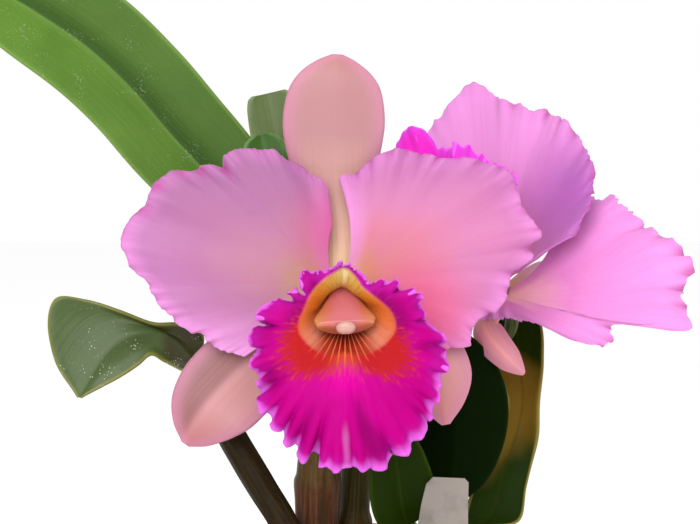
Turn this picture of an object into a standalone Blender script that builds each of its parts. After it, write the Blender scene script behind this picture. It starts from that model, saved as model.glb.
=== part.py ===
# Potted cattleya orchid with two open blooms, at natural size.
# Metres, +Z up. The origin is the middle of the pot's underside, and the blooms face -Y.
# Shapes are worked out in millimetres and turned to metres where a vertex is placed.
import math
import random

import bmesh
import bpy
from mathutils import Matrix, Vector

MM = 0.001
FIT_GAP = 0.3
SEAT_GAP = 0.45

# Pot, bark and label
POT_HEIGHT = 110.0
POT_RIM_RADIUS = 65.0
POT_BASE_RADIUS = 46.0
POT_WALL = 5.0
POT_FLOOR = 7.0
RIM_BAND_HEIGHT = 19.0
RIM_BAND_STEP = 3.0
POT_SIDES = 30
DRAIN_HOLES = 6
DRAIN_RADIUS = 4.5
DRAIN_CIRCLE = 27.0
BARK_TOP = 102.0
BARK_CHIPS = 22
CHIP_SIZE = (13.0, 9.0, 6.0)
CHIP_SPREAD = 47.0
CHIP_ROOM = 4.5
STEM_ROOM = 13.0
RHIZOME_ROOM = 10.0
LABEL_THICKNESS = 1.0
LABEL_SLOT_GAP = 0.4
LABEL_OUTLINE = ((-9.2, 0), (-8.6, 6), (-5.2, 14.5), (-2.2, 17.4), (8.6, 16.6), (9.9, 15.2), (9.6, 9.4),
                 (10.3, 8.2), (9.2, 0), (8.4, -14), (0, -44), (-8.8, -14))
LABEL_PLACE = (33.8, -27.0, 129.6)
LABEL_LEAN = 9.0

# Rhizome and swollen stems: axis points with the radius at each
RHIZOME_RADIUS = 5.6
RHIZOME_RINGS = 16
RHIZOME_PATHS = (
    ((-9, 39, 105), (-10, 29, 105.5), (-12, 12, 106), (-12.5, -3, 106), (-16, -12, 106), (-21.5, -19, 106),
     (-26, -26, 105)),
    ((-12, 13, 106), (-6, 12, 106), (2, 10, 106), (12, 1, 106), (22, -5, 106), (34, -1, 106), (44, 6.5, 106),
     (52.5, 11.5, 105.5)),
)
STEM_SIDES = 10
STEM_RINGS = 11
STEMS = {
    "pseudobulb_left": {
        "axis": ((-20.5, -18.5, 106), (-23, -17.5, 124), (-33, -14, 141), (-43, -10, 157), (-51.5, -7, 172),
                 (-57.2, -5, 184.5)),
        "radius": ((0, 4.0), (0.12, 5.2), (0.2, 6.0), (0.24, 5.2), (0.5, 5.6), (0.8, 4.9), (1, 3.0)),
    },
    "pseudobulb_sheathed": {
        "axis": ((-12.5, -2.5, 106), (-12.5, -2, 124), (-12, 0, 148), (-10.4, 2, 170), (-9, 3, 180)),
        "radius": ((0, 4.2), (0.14, 7.6), (0.35, 8.6), (0.42, 8.9), (0.45, 8.0), (0.8, 6.6), (1, 4.0)),
    },
    "pseudobulb_olive": {
        "axis": ((1.5, 9.5, 106), (1.5, 9.6, 121), (3, 10.5, 143), (6, 12, 162), (8.6, 13, 176)),
        "radius": ((0, 4.2), (0.16, 5.6), (0.27, 7.2), (0.33, 5.9), (0.7, 5.6), (1, 3.2)),
    },
    "pseudobulb_back": {
        "axis": ((-10, 29.5, 106), (-10, 29.5, 126), (-11, 30, 160), (-12.2, 31, 190), (-13.5, 32, 206)),
        "radius": ((0, 4.2), (0.2, 6.0), (0.5, 8.2), (0.8, 6.4), (1, 3.0)),
    },
    "pseudobulb_right": {
        "axis": ((45.5, 7.6, 106), (46, 7.8, 110.5), (46.9, 8.4, 115.2), (48.2, 9.2, 119)),
        "radius": ((0, 4.0), (0.4, 5.2), (0.7, 5.0), (1, 3.2)),
    },
    "pseudobulb_new": {
        "axis": ((22, -5.2, 106), (22.2, -6.6, 114), (21.8, -11, 121.5), (21, -15, 127)),
        "radius": ((0, 4.0), (0.35, 5.8), (0.7, 5.2), (1, 3.2)),
    },
}

# Leaves: midrib points, the direction across the blade at each, and half the width along it
LEAF_THICKNESS = 1.7
LEAF_ACROSS = 6
LEAF_ALONG = 11
TIP_CROWDING = 1.35
FOLD_SOFTNESS = 0.2
LEAVES = {
    "leaf_large": {
        "midrib": ((-14.3, 32.5, 207.8), (-25, 35, 223), (-47, 38, 245.5), (-69, 37, 269), (-85, 34, 288),
                   (-102, 29, 304.5), (-122, 23, 318.5), (-142, 17, 331), (-157, 13, 347)),
        "across": ((0.6, -0.5, 0.5), (0.66, -0.2, 0.7), (0.69, 0.05, 0.72), (0.72, 0.1, 0.69),
                   (0.72, 0.1, 0.69), (0.66, 0.1, 0.75), (0.56, 0.1, 0.82), (0.6, 0.1, 0.8), (0.76, 0.1, 0.65)),
        "half_width": ((0, 2.6), (0.07, 7.5), (0.18, 18), (0.3, 24.5), (0.5, 25), (0.75, 23), (0.9, 16),
                       (0.97, 9), (1, 2.0)),
        "fold": 22.0,
    },
    "leaf_left_small": {
        "midrib": ((-58.1, -4.8, 185.7), (-73.5, -6.5, 196.4), (-85.3, -9, 197.4), (-91.6, -11.5, 193.3),
                   (-95.3, -13.5, 185), (-99.8, -16, 174.5)),
        "across": ((-0.3, -0.6, 0.7), (-0.1, 0.1, 1), (-0.4, 0.2, 0.85), (-0.8, 0.25, 0.5), (-0.9, 0.25, 0.35),
                   (-0.9, 0.25, 0.4)),
        "half_width": ((0, 2.6), (0.1, 3.6), (0.2, 6), (0.4, 14), (0.6, 19), (0.8, 14), (0.93, 6.5), (1, 1.6)),
        "fold": 20.0,
        "skew": 0.25,
    },
    "leaf_back_upright": {
        "midrib": ((7.6, 16.0, 176.9), (1.4, 21, 198), (-11.6, 20, 226), (-24, 19.5, 256), (-30.6, 20.5, 286)),
        "across": ((0.8, -0.4, 0.4), (0.85, -0.3, 0.4), (0.9, -0.1, 0.3), (0.96, 0, 0.2), (0.99, 0, 0.1)),
        "half_width": ((0, 2.8), (0.2, 8), (0.5, 12.5), (0.8, 10.5), (0.96, 7.8), (1, 6.4)),
        "fold": 14.0,
    },
    "leaf_back_rounded": {
        "midrib": ((-11.4, 7.4, 180.6), (-15, 9.5, 203), (-23, 9, 232), (-30, 8, 255), (-33.4, 8.5, 271)),
        "across": ((0.95, -0.3, 0.2), (0.95, -0.15, 0.2), (0.95, -0.1, 0.2), (0.98, 0.05, 0.1),
                   (0.99, 0.05, 0.05)),
        "half_width": ((0, 2.6), (0.2, 6.5), (0.5, 11), (0.85, 10.5), (0.97, 7.0), (1, 3.6)),
        "fold": 18.0,
    },
    "leaf_dark_right": {
        "midrib": ((9.6, 10.5, 177.0), (16, 10.4, 186.5), (27, 11, 188), (37, 9, 181), (43, 6, 166),
                   (45.5, 4, 150), (48, 2, 132)),
        "across": ((0.2, -0.9, 0.5), (0.2, -0.7, 0.7), (0.4, -0.35, 0.85), (0.8, -0.15, 0.6),
                   (0.95, -0.1, 0.3), (0.98, -0.1, 0.15), (0.98, -0.1, 0.1)),
        "half_width": ((0, 2.6), (0.2, 7), (0.4, 13.5), (0.6, 17.5), (0.78, 16.5), (0.92, 10), (1, 1.8)),
        "fold": 16.0,
    },
    "leaf_twisted_right": {
        "midrib": ((48.7, 9.7, 120.4), (54.2, 14.5, 127), (60, 21, 138.5), (64, 28, 151), (67, 35, 165),
                   (67.5, 43, 181), (66, 52, 198), (62, 59, 214)),
        "across": ((0.8, 0.5, -0.1), (0.85, 0.4, -0.25), (0.85, 0.4, -0.3), (0.85, 0.4, -0.2),
                   (0.9, 0.35, 0.1), (0.95, 0.2, 0.1), (0.93, -0.1, 0.2), (0.9, -0.1, 0.3)),
        "half_width": ((0, 3.0), (0.05, 8.5), (0.12, 11), (0.3, 12), (0.5, 11), (0.7, 11.5), (0.9, 7.5),
                       (1, 1.6)),
        "fold": 30.0,
    },
    "leaf_new_growth": {
        "midrib": ((20.9, -15.9, 127.4), (19, -19.5, 136), (17.4, -20.5, 148), (16, -19.5, 160),
                   (15, -17.5, 170)),
        "across": ((0.95, 0.3, 0), (0.97, 0.2, 0), (0.97, 0.2, 0.1), (0.97, 0.1, 0.1), (0.97, 0.1, 0.1)),
        "half_width": ((0, 3.0), (0.15, 9.0), (0.45, 12.0), (0.75, 8.5), (1, 1.4)),
        "fold": 26.0,
    },
}

# Blooms. In a bloom's own frame x is right, y is towards the dorsal sepal and z is towards the viewer.
CLAW_RADIUS = 4.3
PETAL_THICKNESS = 0.8
SEPAL_THICKNESS = 1.0
LIP_THICKNESS = 0.8
PETAL_ROWS = 7
PETAL_COLUMNS = 28
SEPAL_ACROSS = 5
SEPAL_ALONG = 10
LIP_ROWS = 8
LIP_COLUMNS = 44
LIP_THROAT_SHARE = 0.36
PETAL_CROWDING = 0.85
PETAL_NOTCH = 0.02
PETAL_CUP = 6.0
PETAL_RUFFLE_GROWTH = 2.6
CLAW_NARROWING = 0.45
CLAW_END = 0.35
THROAT_RADIUS = 4.9
THROAT_START = 1.2
THROAT_FLARE = 1.2
LIP_NOTCH = 0.045
LIP_BULGE = 3.0
LIP_RUFFLE_GROWTH = 1.5
VIEW_TILT = 5.0

BLOOMS = {
    "front": {
        "centre": (-3.5, -40.0, 217.0),
        "roll": 0.0,
        "turn": 0.0,
        # margins: polar angle in degrees and reach; then the z that the blade leaves to, waves and their height
        "petals": {
            "left": {
                "margin": ((95.5, 34), (103, 43.5), (112, 52), (122, 60), (131, 64), (137, 66), (143, 71),
                           (150, 77), (157, 78.5), (165, 82), (174, 77), (182, 67.5), (193, 60), (204, 49.5),
                           (216, 40.5)),
                "waves": 7, "height": 3.4, "phase": 0.4, "tip_z": -3.0,
            },
            "right": {
                "margin": ((-28, 43.5), (-20, 49.5), (-13, 49.5), (-6.5, 56), (1.5, 60.5), (10, 70.5),
                           (17, 74.5), (26, 71.5), (33, 73.5), (40, 70.5), (47, 64.5), (55, 59), (66, 54.5),
                           (75, 48.5), (82, 41.5), (88.5, 39.8)),
                "waves": 7, "height": 3.4, "phase": 2.2, "tip_z": -3.0,
            },
        },
        "sepals": {
            "dorsal": {
                "midrib": ((0, 4.6, -3.2), (0, 18, -8), (-1.4, 36, -10), (-2.4, 56, -8), (-1.6, 74, -6),
                           (-1, 84.5, -7)),
                "across": ((1, 0, 0), (1, 0, 0), (1, 0, 0), (1, 0, 0), (1, 0, 0), (1, 0, 0)),
                "half_width": ((0, 3.2), (0.15, 5.5), (0.35, 12), (0.6, 18.3), (0.75, 17.2), (0.88, 12.8),
                               (0.96, 7.6), (1, 2.2)),
                "fold": -8.0,
            },
            "left": {
                "midrib": ((-3.4, -3.2, -3.2), (-15, -12, -8), (-32, -27, -10), (-46, -41.5, -8),
                           (-55.6, -55.5, -7)),
                "across": ((-0.7, 0.7, 0), (-0.66, 0.75, 0), (-0.7, 0.7, 0.1), (-0.8, 0.6, 0.1),
                           (-0.85, 0.52, 0.1)),
                "half_width": ((0, 3.2), (0.15, 6), (0.4, 14), (0.66, 17.8), (0.82, 14.6), (0.94, 8.0),
                               (1, 1.6)),
                "fold": -14.0,
            },
            "right": {
                "midrib": ((3.4, -3.2, -3.2), (14, -10, -8), (26, -19.5, -9), (34.5, -32, -8.5),
                           (38, -48.5, -8)),
                "across": ((-0.7, -0.7, 0), (-0.72, -0.69, 0), (-0.8, -0.6, -0.1), (-0.95, -0.2, -0.2),
                           (-0.97, -0.05, -0.2)),
                "half_width": ((0, 3.2), (0.2, 7.5), (0.5, 13.5), (0.75, 13.5), (0.9, 8), (1, 1.6)),
                "fold": -16.0,
            },
        },
        "lip": {
            # polar angle from straight down, positive to the right, with the reach of the margin
            "margin": ((-168, 22.5), (-145, 22), (-125, 21), (-112, 24.5), (-97, 30.5), (-78, 34.5),
                       (-61, 36.5), (-46, 41), (-30, 45), (-14, 48.5), (0, 49), (14, 49), (28, 48.5),
                       (42, 45), (56, 40.5), (68, 37), (80, 34), (93, 28.5), (108, 28), (122, 23.5),
                       (135, 21.5), (168, 22.5)),
            "mouth": ((-168, 19), (-120, 14.5), (-85, 16.5), (-50, 12), (0, 7.5), (50, 12), (85, 17),
                      (120, 14.5), (168, 19)),
            "offset": (1.8, -13.5), "mouth_z": 25.0, "bottom_z": 31.0, "side_z": 21.0, "top_z": 28.0,
            "waves": 11, "height": 3.8,
        },
        "stalk": ((-3.9, -26, 215.4), (-5, -15, 212), (-8, -6, 205.5), (-10.8, -2, 197), (-11.2, -0.6, 189),
                  (-11.1, -0.3, 182.5)),
    },
    "back": {
        "centre": (56.8, 20.0, 210.0),
        "roll": -49.0,
        "turn": -44.0,
        "petals": {
            "left": {
                "margin": ((58, 24), (66, 40), (74, 47), (83, 52), (94, 61), (104, 63.5), (115, 69.5), (126, 77.5),
                           (137, 87.5), (147, 95), (157, 88), (165, 78), (172, 62)),
                "waves": 6, "height": 3.4, "phase": 1.0, "tip_z": 14.0,
            },
            "right": {
                "margin": ((-4, 17), (3, 24), (10, 40), (15, 50), (22, 57), (29, 80), (36, 80), (43, 77.5),
                           (50, 78), (59, 70.5), (72, 64), (85, 58), (92, 54), (98, 42)),
                "waves": 7, "height": 3.0, "phase": 0.0, "tip_z": -2.0,
            },
        },
        "sepals": {
            "dorsal": {
                "midrib": ((0, 4.6, -3.2), (-1, 14, -9), (-3, 24, -20), (-6, 32, -36), (-8, 36, -52)),
                "across": ((1, 0, 0), (1, 0, 0), (1, 0, 0), (1, 0.2, 0), (1, 0.2, 0)),
                "half_width": ((0, 3.2), (0.2, 6), (0.5, 11), (0.75, 12.5), (0.92, 7), (1, 1.6)),
                "fold": -8.0,
            },
            "left": {
                "midrib": ((-3.4, -3.2, -3.2), (-12, -11, -10), (-24, -22, -14), (-35, -33, -14),
                           (-43, -41, -12)),
                "across": ((-0.7, 0.7, 0), (-0.7, 0.7, 0), (-0.7, 0.7, 0.1), (-0.75, 0.66, 0.1),
                           (-0.8, 0.6, 0.1)),
                "half_width": ((0, 3.2), (0.2, 6), (0.5, 12), (0.75, 12.5), (0.92, 7), (1, 1.6)),
                "fold": -10.0,
            },
            "right": {
                "midrib": ((3.4, -3.2, -3.2), (8, -8, -7), (13, -13, -14), (16.5, -16, -22), (18.5, -17, -31)),
                "across": ((-0.7, -0.7, 0), (-0.7, -0.7, 0), (-0.6, -0.75, -0.2), (-0.6, -0.7, -0.3),
                           (-0.6, -0.7, -0.3)),
                "half_width": ((0, 3.2), (0.2, 6), (0.5, 9.5), (0.8, 8.5), (1, 1.6)),
                "fold": -22.0,
            },
        },
        "lip": {
            "margin": ((-168, 33), (-150, 36), (-137, 40), (-126, 50), (-115, 59), (-102, 55), (-85, 44),
                       (-60, 34), (-30, 34), (0, 38), (25, 40), (45, 36), (65, 29), (80, 25),
                       (105, 24), (135, 26), (168, 31)),
            "mouth": ((-168, 20), (-120, 16), (-85, 17), (-50, 12), (0, 7.5), (50, 12), (85, 16),
                      (120, 15), (168, 20)),
            "offset": (-8.0, -3.0), "mouth_z": 30.0, "bottom_z": 37.0, "side_z": 35.0, "top_z": 38.0,
            "waves": 11, "height": 3.8,
        },
        "stalk": ((63.3, 29.5, 201.6), (62, 34, 192), (51, 31, 187), (34, 22, 190), (20, 15, 198),
                  (9, 9, 206), (-1, 2, 210.5), (-5.4, -1.3, 204), (-6.2, -0.8, 194), (-6.4, -0.3, 182.5)),
    },
}
COLUMN_SIDES = 12
COLUMN_RINGS = 8
COLUMN_HALF_WIDTH = ((0, 3.6), (0.35, 4.6), (0.6, 6.6), (0.85, 9.6), (1, 8.6))
COLUMN_HALF_DEPTH = ((0, 3.4), (0.5, 3.4), (0.85, 3.0), (1, 2.0))
COLUMN_ARCH = 1.6
WING_DROOP = 0.045
ANTHER_CAP = (3.4, 2.5, 2.2)
STALK_SIDES = 8
STALK_RINGS = 15
STALK_RADIUS = ((0, 3.8), (0.1, 3.7), (0.25, 2.6), (0.6, 2.0), (1, 1.8))
SHEATH_AXIS = ((-8.8, -0.3, 180.8), (-8.7, -0.6, 190), (-8.4, -1.4, 198), (-7.8, -2.2, 205))
SHEATH_RADIUS = ((0, 5.0), (0.3, 5.7), (0.8, 6.0), (1, 6.8))
SHEATH_WALL = 0.8


def clear_scene():
    for old in list(bpy.data.objects):
        bpy.data.objects.remove(old, do_unlink=True)


def new_collection(name):
    group = bpy.data.collections.new(name)
    bpy.context.scene.collection.children.link(group)
    return group


def new_material(name, colour, roughness):
    look = bpy.data.materials.new(name)
    look.use_nodes = True
    shader = look.node_tree.nodes["Principled BSDF"]
    shader.inputs["Base Color"].default_value = (*colour, 1.0)
    shader.inputs["Roughness"].default_value = roughness
    return look


def value_at(stops, place):
    """A smooth value at a place along (place, value) stops."""
    if place <= stops[0][0]:
        return stops[0][1]
    if place >= stops[-1][0]:
        return stops[-1][1]
    last = len(stops) - 1
    i = max(n for n in range(last) if stops[n][0] <= place)
    (x0, y0), (x1, y1) = stops[i], stops[i + 1]
    span = x1 - x0
    before = stops[max(i - 1, 0)]
    after = stops[min(i + 2, last)]
    slope0 = (y1 - before[1]) / (x1 - before[0]) * span
    slope1 = (after[1] - y0) / (after[0] - x0) * span
    t = (place - x0) / span
    return (y0 * (2 * t ** 3 - 3 * t ** 2 + 1) + slope0 * (t ** 3 - 2 * t ** 2 + t)
            + y1 * (3 * t ** 2 - 2 * t ** 3) + slope1 * (t ** 3 - t ** 2))


def point_at(points, t):
    """A point at share t along a smooth curve through evenly counted points."""
    last = len(points) - 1
    return Vector([value_at([(n / last, p[axis]) for n, p in enumerate(points)], t) for axis in range(3)])


def frame_at(points, across, t):
    """Centre, sideways and upward directions of a blade or stem at share t of its length."""
    step = 0.01
    ahead = (point_at(points, min(t + step, 1)) - point_at(points, max(t - step, 0))).normalized()
    side = point_at(across, t)
    side = (side - ahead * side.dot(ahead)).normalized()
    return point_at(points, t), side, side.cross(ahead)


def finish_object(name, bm, look, group):
    mesh = bpy.data.meshes.new(name)
    bm.to_mesh(mesh)
    bm.free()
    mesh.materials.append(look)
    mesh.shade_smooth()
    mesh.set_sharp_from_angle(angle=math.radians(40))
    obj = bpy.data.objects.new(name, mesh)
    group.objects.link(obj)
    return obj


def sheet(name, columns, rows, place, thickness, look, group):
    """A blade: a grid laid out by place(u, v) in millimetres, split alike on both faces, then thickened."""
    bm = bmesh.new()
    bmesh.ops.create_grid(bm, x_segments=columns, y_segments=rows, size=0.5)
    for vert in bm.verts:
        vert.co = place(vert.co.x + 0.5, vert.co.y + 0.5) * MM
    bmesh.ops.triangulate(bm, faces=bm.faces[:])
    obj = finish_object(name, bm, look, group)
    shell = obj.modifiers.new("thickness", "SOLIDIFY")
    shell.thickness = thickness * MM
    shell.offset = 0.0
    return obj


def stem(name, sides, rings, place, look, group):
    """A closed stalk: a grid wrapped round by place(u, v) in millimetres, seam welded and ends filled."""
    bm = bmesh.new()
    bmesh.ops.create_grid(bm, x_segments=sides, y_segments=rings, size=0.5)
    for vert in bm.verts:
        vert.co = place(vert.co.x + 0.5, vert.co.y + 0.5) * MM
    bmesh.ops.remove_doubles(bm, verts=bm.verts[:], dist=1e-6)
    bmesh.ops.holes_fill(bm, edges=bm.edges[:], sides=0)
    bmesh.ops.triangulate(bm, faces=bm.faces[:])
    bmesh.ops.recalc_face_normals(bm, faces=bm.faces[:])
    return finish_object(name, bm, look, group)


def stalk_place(points, radius, extra=0.0):
    """Placing function of a round stalk on a path, with an optional allowance on its radius."""
    upright = [(0.3, 1.0, 0.1)] * len(points)

    def place(u, v):
        centre, side, up = frame_at(points, upright, v)
        turn = 2 * math.pi * u
        reach = value_at(radius, v) + extra
        return centre + side * (reach * math.cos(turn)) + up * (reach * math.sin(turn))
    return place


def blade_place(shape, matrix=None):
    """Placing function of a folded leaf or sepal, rows crowded towards its tip."""
    def place(u, v):
        v = 1 - (1 - v) ** TIP_CROWDING
        a = 2 * u - 1
        spread = a * (1 + shape.get("skew", 0.0) * a)
        centre, side, up = frame_at(shape["midrib"], shape["across"], v)
        half = value_at(shape["half_width"], v)
        fold = math.radians(shape["fold"])
        lift = half * math.sin(fold) * (math.hypot(a, FOLD_SOFTNESS) - FOLD_SOFTNESS)
        point = centre + side * (spread * half * math.cos(fold)) + up * lift
        return matrix @ point if matrix else point
    return place


def bloom_matrix(bloom):
    turn = (Matrix.Rotation(math.radians(90 - VIEW_TILT), 4, "X")
            @ Matrix.Rotation(math.radians(bloom["roll"]), 4, "Z")
            @ Matrix.Rotation(math.radians(bloom["turn"]), 4, "Y"))
    return Matrix.Translation(Vector(bloom["centre"])) @ turn


def petal_place(petal, matrix):
    """Placing function of a fan-shaped petal: s runs from the claw to the margin, t from edge to edge."""
    start = petal["margin"][0][0]
    end = petal["margin"][-1][0]
    middle = (start + end) / 2

    def place(t, s):
        s = s ** PETAL_CROWDING
        bearing = start + (end - start) * t
        reach = value_at(petal["margin"], bearing)
        wave = math.sin(2 * math.pi * petal["waves"] * t + petal["phase"])
        reach *= 1 - PETAL_NOTCH * wave * s
        claw = CLAW_NARROWING + (1 - CLAW_NARROWING) * min(s / CLAW_END, 1)
        angle = math.radians(middle + (bearing - middle) * claw)
        radius = CLAW_RADIUS + (reach - CLAW_RADIUS) * s
        edge = min(t, 1 - t)
        calm = min(0.35 + edge * 6, 1)
        z = PETAL_CUP * s * (1 - s) + petal["tip_z"] * s
        z += petal["height"] * calm * wave * s ** PETAL_RUFFLE_GROWTH
        return matrix @ Vector((radius * math.cos(angle), radius * math.sin(angle), z))
    return place


def lip_place(lip, matrix):
    """Placing function of the lip: a throat that opens forward round the column, then a ruffled skirt."""
    first = lip["margin"][0][0]
    last = lip["margin"][-1][0]

    def place(t, s):
        bearing = first + (last - first) * t
        angle = math.radians(bearing - 90)
        mouth = value_at(lip["mouth"], bearing)
        low = (1 + math.cos(math.radians(bearing))) / 2
        if s < LIP_THROAT_SHARE:
            k = s / LIP_THROAT_SHARE
            radius = THROAT_RADIUS + (mouth - THROAT_RADIUS) * k ** THROAT_FLARE
            z = THROAT_START + (lip["mouth_z"] - THROAT_START) * k
            drift = k
        else:
            k = (s - LIP_THROAT_SHARE) / (1 - LIP_THROAT_SHARE)
            reach = value_at(lip["margin"], bearing)
            wave = math.sin(2 * math.pi * lip["waves"] * t)
            radius = mouth + (reach * (1 - LIP_NOTCH * wave) - mouth) * k
            side = abs(math.sin(math.radians(bearing)))
            rim = lip["side_z"] * side + (1 - side) * (lip["bottom_z"] * low + lip["top_z"] * (1 - low))
            z = lip["mouth_z"] + (rim - lip["mouth_z"]) * k + LIP_BULGE * math.sin(math.pi * k) * low
            z += lip["height"] * wave * k ** LIP_RUFFLE_GROWTH * (0.35 + 0.65 * low)
            drift = 1
        x = lip["offset"][0] * drift + radius * math.cos(angle)
        y = lip["offset"][1] * drift + radius * math.sin(angle)
        return matrix @ Vector((x, y, z))
    return place


def column_axis(lip):
    x, y = lip["offset"]
    return ((0, 0, 1.0), (0, 0, 6.5), (x * 0.5, y * 0.42 + COLUMN_ARCH, 15), (x, y, lip["mouth_z"]))


def column_place(lip, matrix):
    """Placing function of the column: a club that widens to two wings at its tip."""
    axis = column_axis(lip)

    def place(u, v):
        centre, side, up = frame_at(axis, [(1, 0, 0)] * len(axis), v)
        turn = 2 * math.pi * u
        width = value_at(COLUMN_HALF_WIDTH, v) * math.cos(turn)
        depth = value_at(COLUMN_HALF_DEPTH, v) * math.sin(turn)
        droop = WING_DROOP * width * width * v
        return matrix @ (centre + side * width + up * (depth + droop))
    return place


def add_anther_cap(name, lip, matrix, look, group):
    """A pale cap seated just past the column's end."""
    axis = column_axis(lip)
    tip, side, up = frame_at(axis, [(1, 0, 0)] * len(axis), 1)
    ahead = up.cross(side)
    centre = tip + ahead * (ANTHER_CAP[2] + FIT_GAP)
    bm = bmesh.new()
    bmesh.ops.create_uvsphere(bm, u_segments=10, v_segments=6, radius=1.0)
    for vert in bm.verts:
        local = side * (vert.co.x * ANTHER_CAP[0]) + up * (vert.co.y * ANTHER_CAP[1])
        vert.co = matrix @ (centre + local + ahead * (vert.co.z * ANTHER_CAP[2])) * MM
    bmesh.ops.triangulate(bm, faces=bm.faces[:])
    bmesh.ops.recalc_face_normals(bm, faces=bm.faces[:])
    return finish_object(name, bm, look, group)


def turned(name, profile, sides, look, group):
    """A body turned round Z from (radius, height) points that run down the outside and back up inside."""
    bm = bmesh.new()
    verts = [bm.verts.new(Vector((r, 0, z)) * MM) for r, z in profile]
    for one, two in zip(verts, verts[1:]):
        bm.edges.new((one, two))
    obj = finish_object(name, bm, look, group)
    spin = obj.modifiers.new("turned", "SCREW")
    spin.steps = sides
    spin.render_steps = sides
    spin.use_merge_vertices = True
    spin.merge_threshold = 0.00005
    return obj


def applied(obj):
    """Turn what the modifiers show into the object's own mesh."""
    bpy.context.view_layer.update()
    result = bpy.data.meshes.new_from_object(obj.evaluated_get(bpy.context.evaluated_depsgraph_get()))
    obj.modifiers.clear()
    obj.data = result
    return obj


def combine(obj, other, operation, solver="EXACT"):
    """Cut, join or trim a body with another object or collection at once."""
    step = obj.modifiers.new(operation.lower(), "BOOLEAN")
    step.operation = operation
    step.solver = solver
    if isinstance(other, bpy.types.Collection):
        step.operand_type = "COLLECTION"
        step.collection = other
    else:
        step.object = other
    return applied(obj)


def as_cutter(obj):
    obj.hide_render = True
    obj.display_type = "WIRE"
    return obj


def make_pot(look, plant, cutters):
    rim_inner = POT_RIM_RADIUS - POT_WALL - RIM_BAND_STEP
    step_z = POT_HEIGHT - RIM_BAND_HEIGHT
    body_top = POT_RIM_RADIUS - RIM_BAND_STEP - 1.0
    profile = (
        (0, POT_FLOOR), (POT_BASE_RADIUS - POT_WALL, POT_FLOOR), (rim_inner, POT_HEIGHT - 1.5),
        (rim_inner + 1.5, POT_HEIGHT), (POT_RIM_RADIUS - 1.5, POT_HEIGHT), (POT_RIM_RADIUS, POT_HEIGHT - 1.5),
        (POT_RIM_RADIUS - 0.8, step_z + 1.2), (POT_RIM_RADIUS - 2.0, step_z), (body_top, step_z),
        (POT_BASE_RADIUS, 1.2), (POT_BASE_RADIUS - 1.2, 0), (0, 0),
    )
    pot = turned("pot", profile, POT_SIDES, look, plant)
    applied(pot)
    for n in range(DRAIN_HOLES):
        turn = 2 * math.pi * n / DRAIN_HOLES
        bm = bmesh.new()
        bmesh.ops.create_cone(bm, cap_ends=True, segments=10, radius1=DRAIN_RADIUS * MM,
                              radius2=DRAIN_RADIUS * MM, depth=3 * POT_FLOOR * MM)
        middle = Vector((DRAIN_CIRCLE * math.cos(turn), DRAIN_CIRCLE * math.sin(turn), POT_FLOOR / 2)) * MM
        bmesh.ops.translate(bm, verts=bm.verts[:], vec=middle)
        hole = as_cutter(finish_object(f"drain_cutter_{n}", bm, look, cutters))
        combine(pot, hole, "DIFFERENCE")
    return pot


def stem_spots():
    return [Vector(stem_shape["axis"][1]).to_2d() for stem_shape in STEMS.values()]


def rhizome_spots():
    return [point_at(path, n / 12).to_2d() for path in RHIZOME_PATHS for n in range(13)]


def make_bark(look, plant, cutters, rhizome_cutters, label_cutter):
    """The bark fills the pot, with chips standing out of it and grooves for what lies or stands in it."""
    inner = POT_RIM_RADIUS - POT_WALL - RIM_BAND_STEP
    slope = (inner - (POT_BASE_RADIUS - POT_WALL)) / (POT_HEIGHT - 1.5 - POT_FLOOR)
    floor = POT_FLOOR + FIT_GAP
    low = POT_BASE_RADIUS - POT_WALL - 2 * FIT_GAP
    high = low + slope * (BARK_TOP - floor)
    profile = ((0, BARK_TOP + 1.5), (high * 0.5, BARK_TOP + 0.8), (high - 1, BARK_TOP - 1.5),
               (high - 0.6, BARK_TOP - 4), (low, floor), (0, floor))
    bark = applied(turned("potting_bark", profile, POT_SIDES, look, plant))
    draw = random.Random(7)
    busy = [(spot, STEM_ROOM) for spot in stem_spots()] + [(spot, RHIZOME_ROOM) for spot in rhizome_spots()]
    busy.append((Vector(LABEL_PLACE).to_2d(), STEM_ROOM))
    chips = bpy.data.collections.new("bark_chips")
    bpy.context.scene.collection.children.link(chips)
    made = []
    while len(made) < BARK_CHIPS:
        reach = CHIP_SPREAD * math.sqrt(draw.random())
        turn = draw.uniform(0, 2 * math.pi)
        spot = Vector((reach * math.cos(turn), reach * math.sin(turn)))
        if any((spot - centre).length < room for centre, room in busy):
            continue
        busy.append((spot, CHIP_ROOM))
        bm = bmesh.new()
        bmesh.ops.create_cube(bm, size=1.0)
        size = draw.uniform(0.75, 1.25)
        tilt = (Matrix.Rotation(draw.uniform(0, 6.3), 4, "Z") @ Matrix.Rotation(draw.uniform(-0.5, 0.5), 4, "X")
                @ Matrix.Rotation(draw.uniform(-0.4, 0.4), 4, "Y"))
        for vert in bm.verts:
            taper = 0.8 if vert.co.z > 0 else 1.0
            shape = Vector(c * d * size for c, d in zip(vert.co, CHIP_SIZE))
            shape.x *= taper
            vert.co = (tilt @ shape + Vector((spot.x, spot.y, BARK_TOP + 0.8))) * MM
        bmesh.ops.triangulate(bm, faces=bm.faces[:])
        made.append(finish_object(f"chip_{len(made)}", bm, look, chips))
    combine(bark, chips, "UNION", "MANIFOLD")
    for chip in made:
        bpy.data.objects.remove(chip, do_unlink=True)
    bpy.data.collections.remove(chips)
    for cutter in (*rhizome_cutters, label_cutter):
        combine(bark, cutter, "DIFFERENCE")
    return bark


def lengthened(path):
    """The same path, run on past both ends by the gap that a seat keeps."""
    points = [Vector(point) for point in path]
    points[0] += (points[0] - points[1]).normalized() * SEAT_GAP
    points[-1] += (points[-1] - points[-2]).normalized() * SEAT_GAP
    return points


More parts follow.
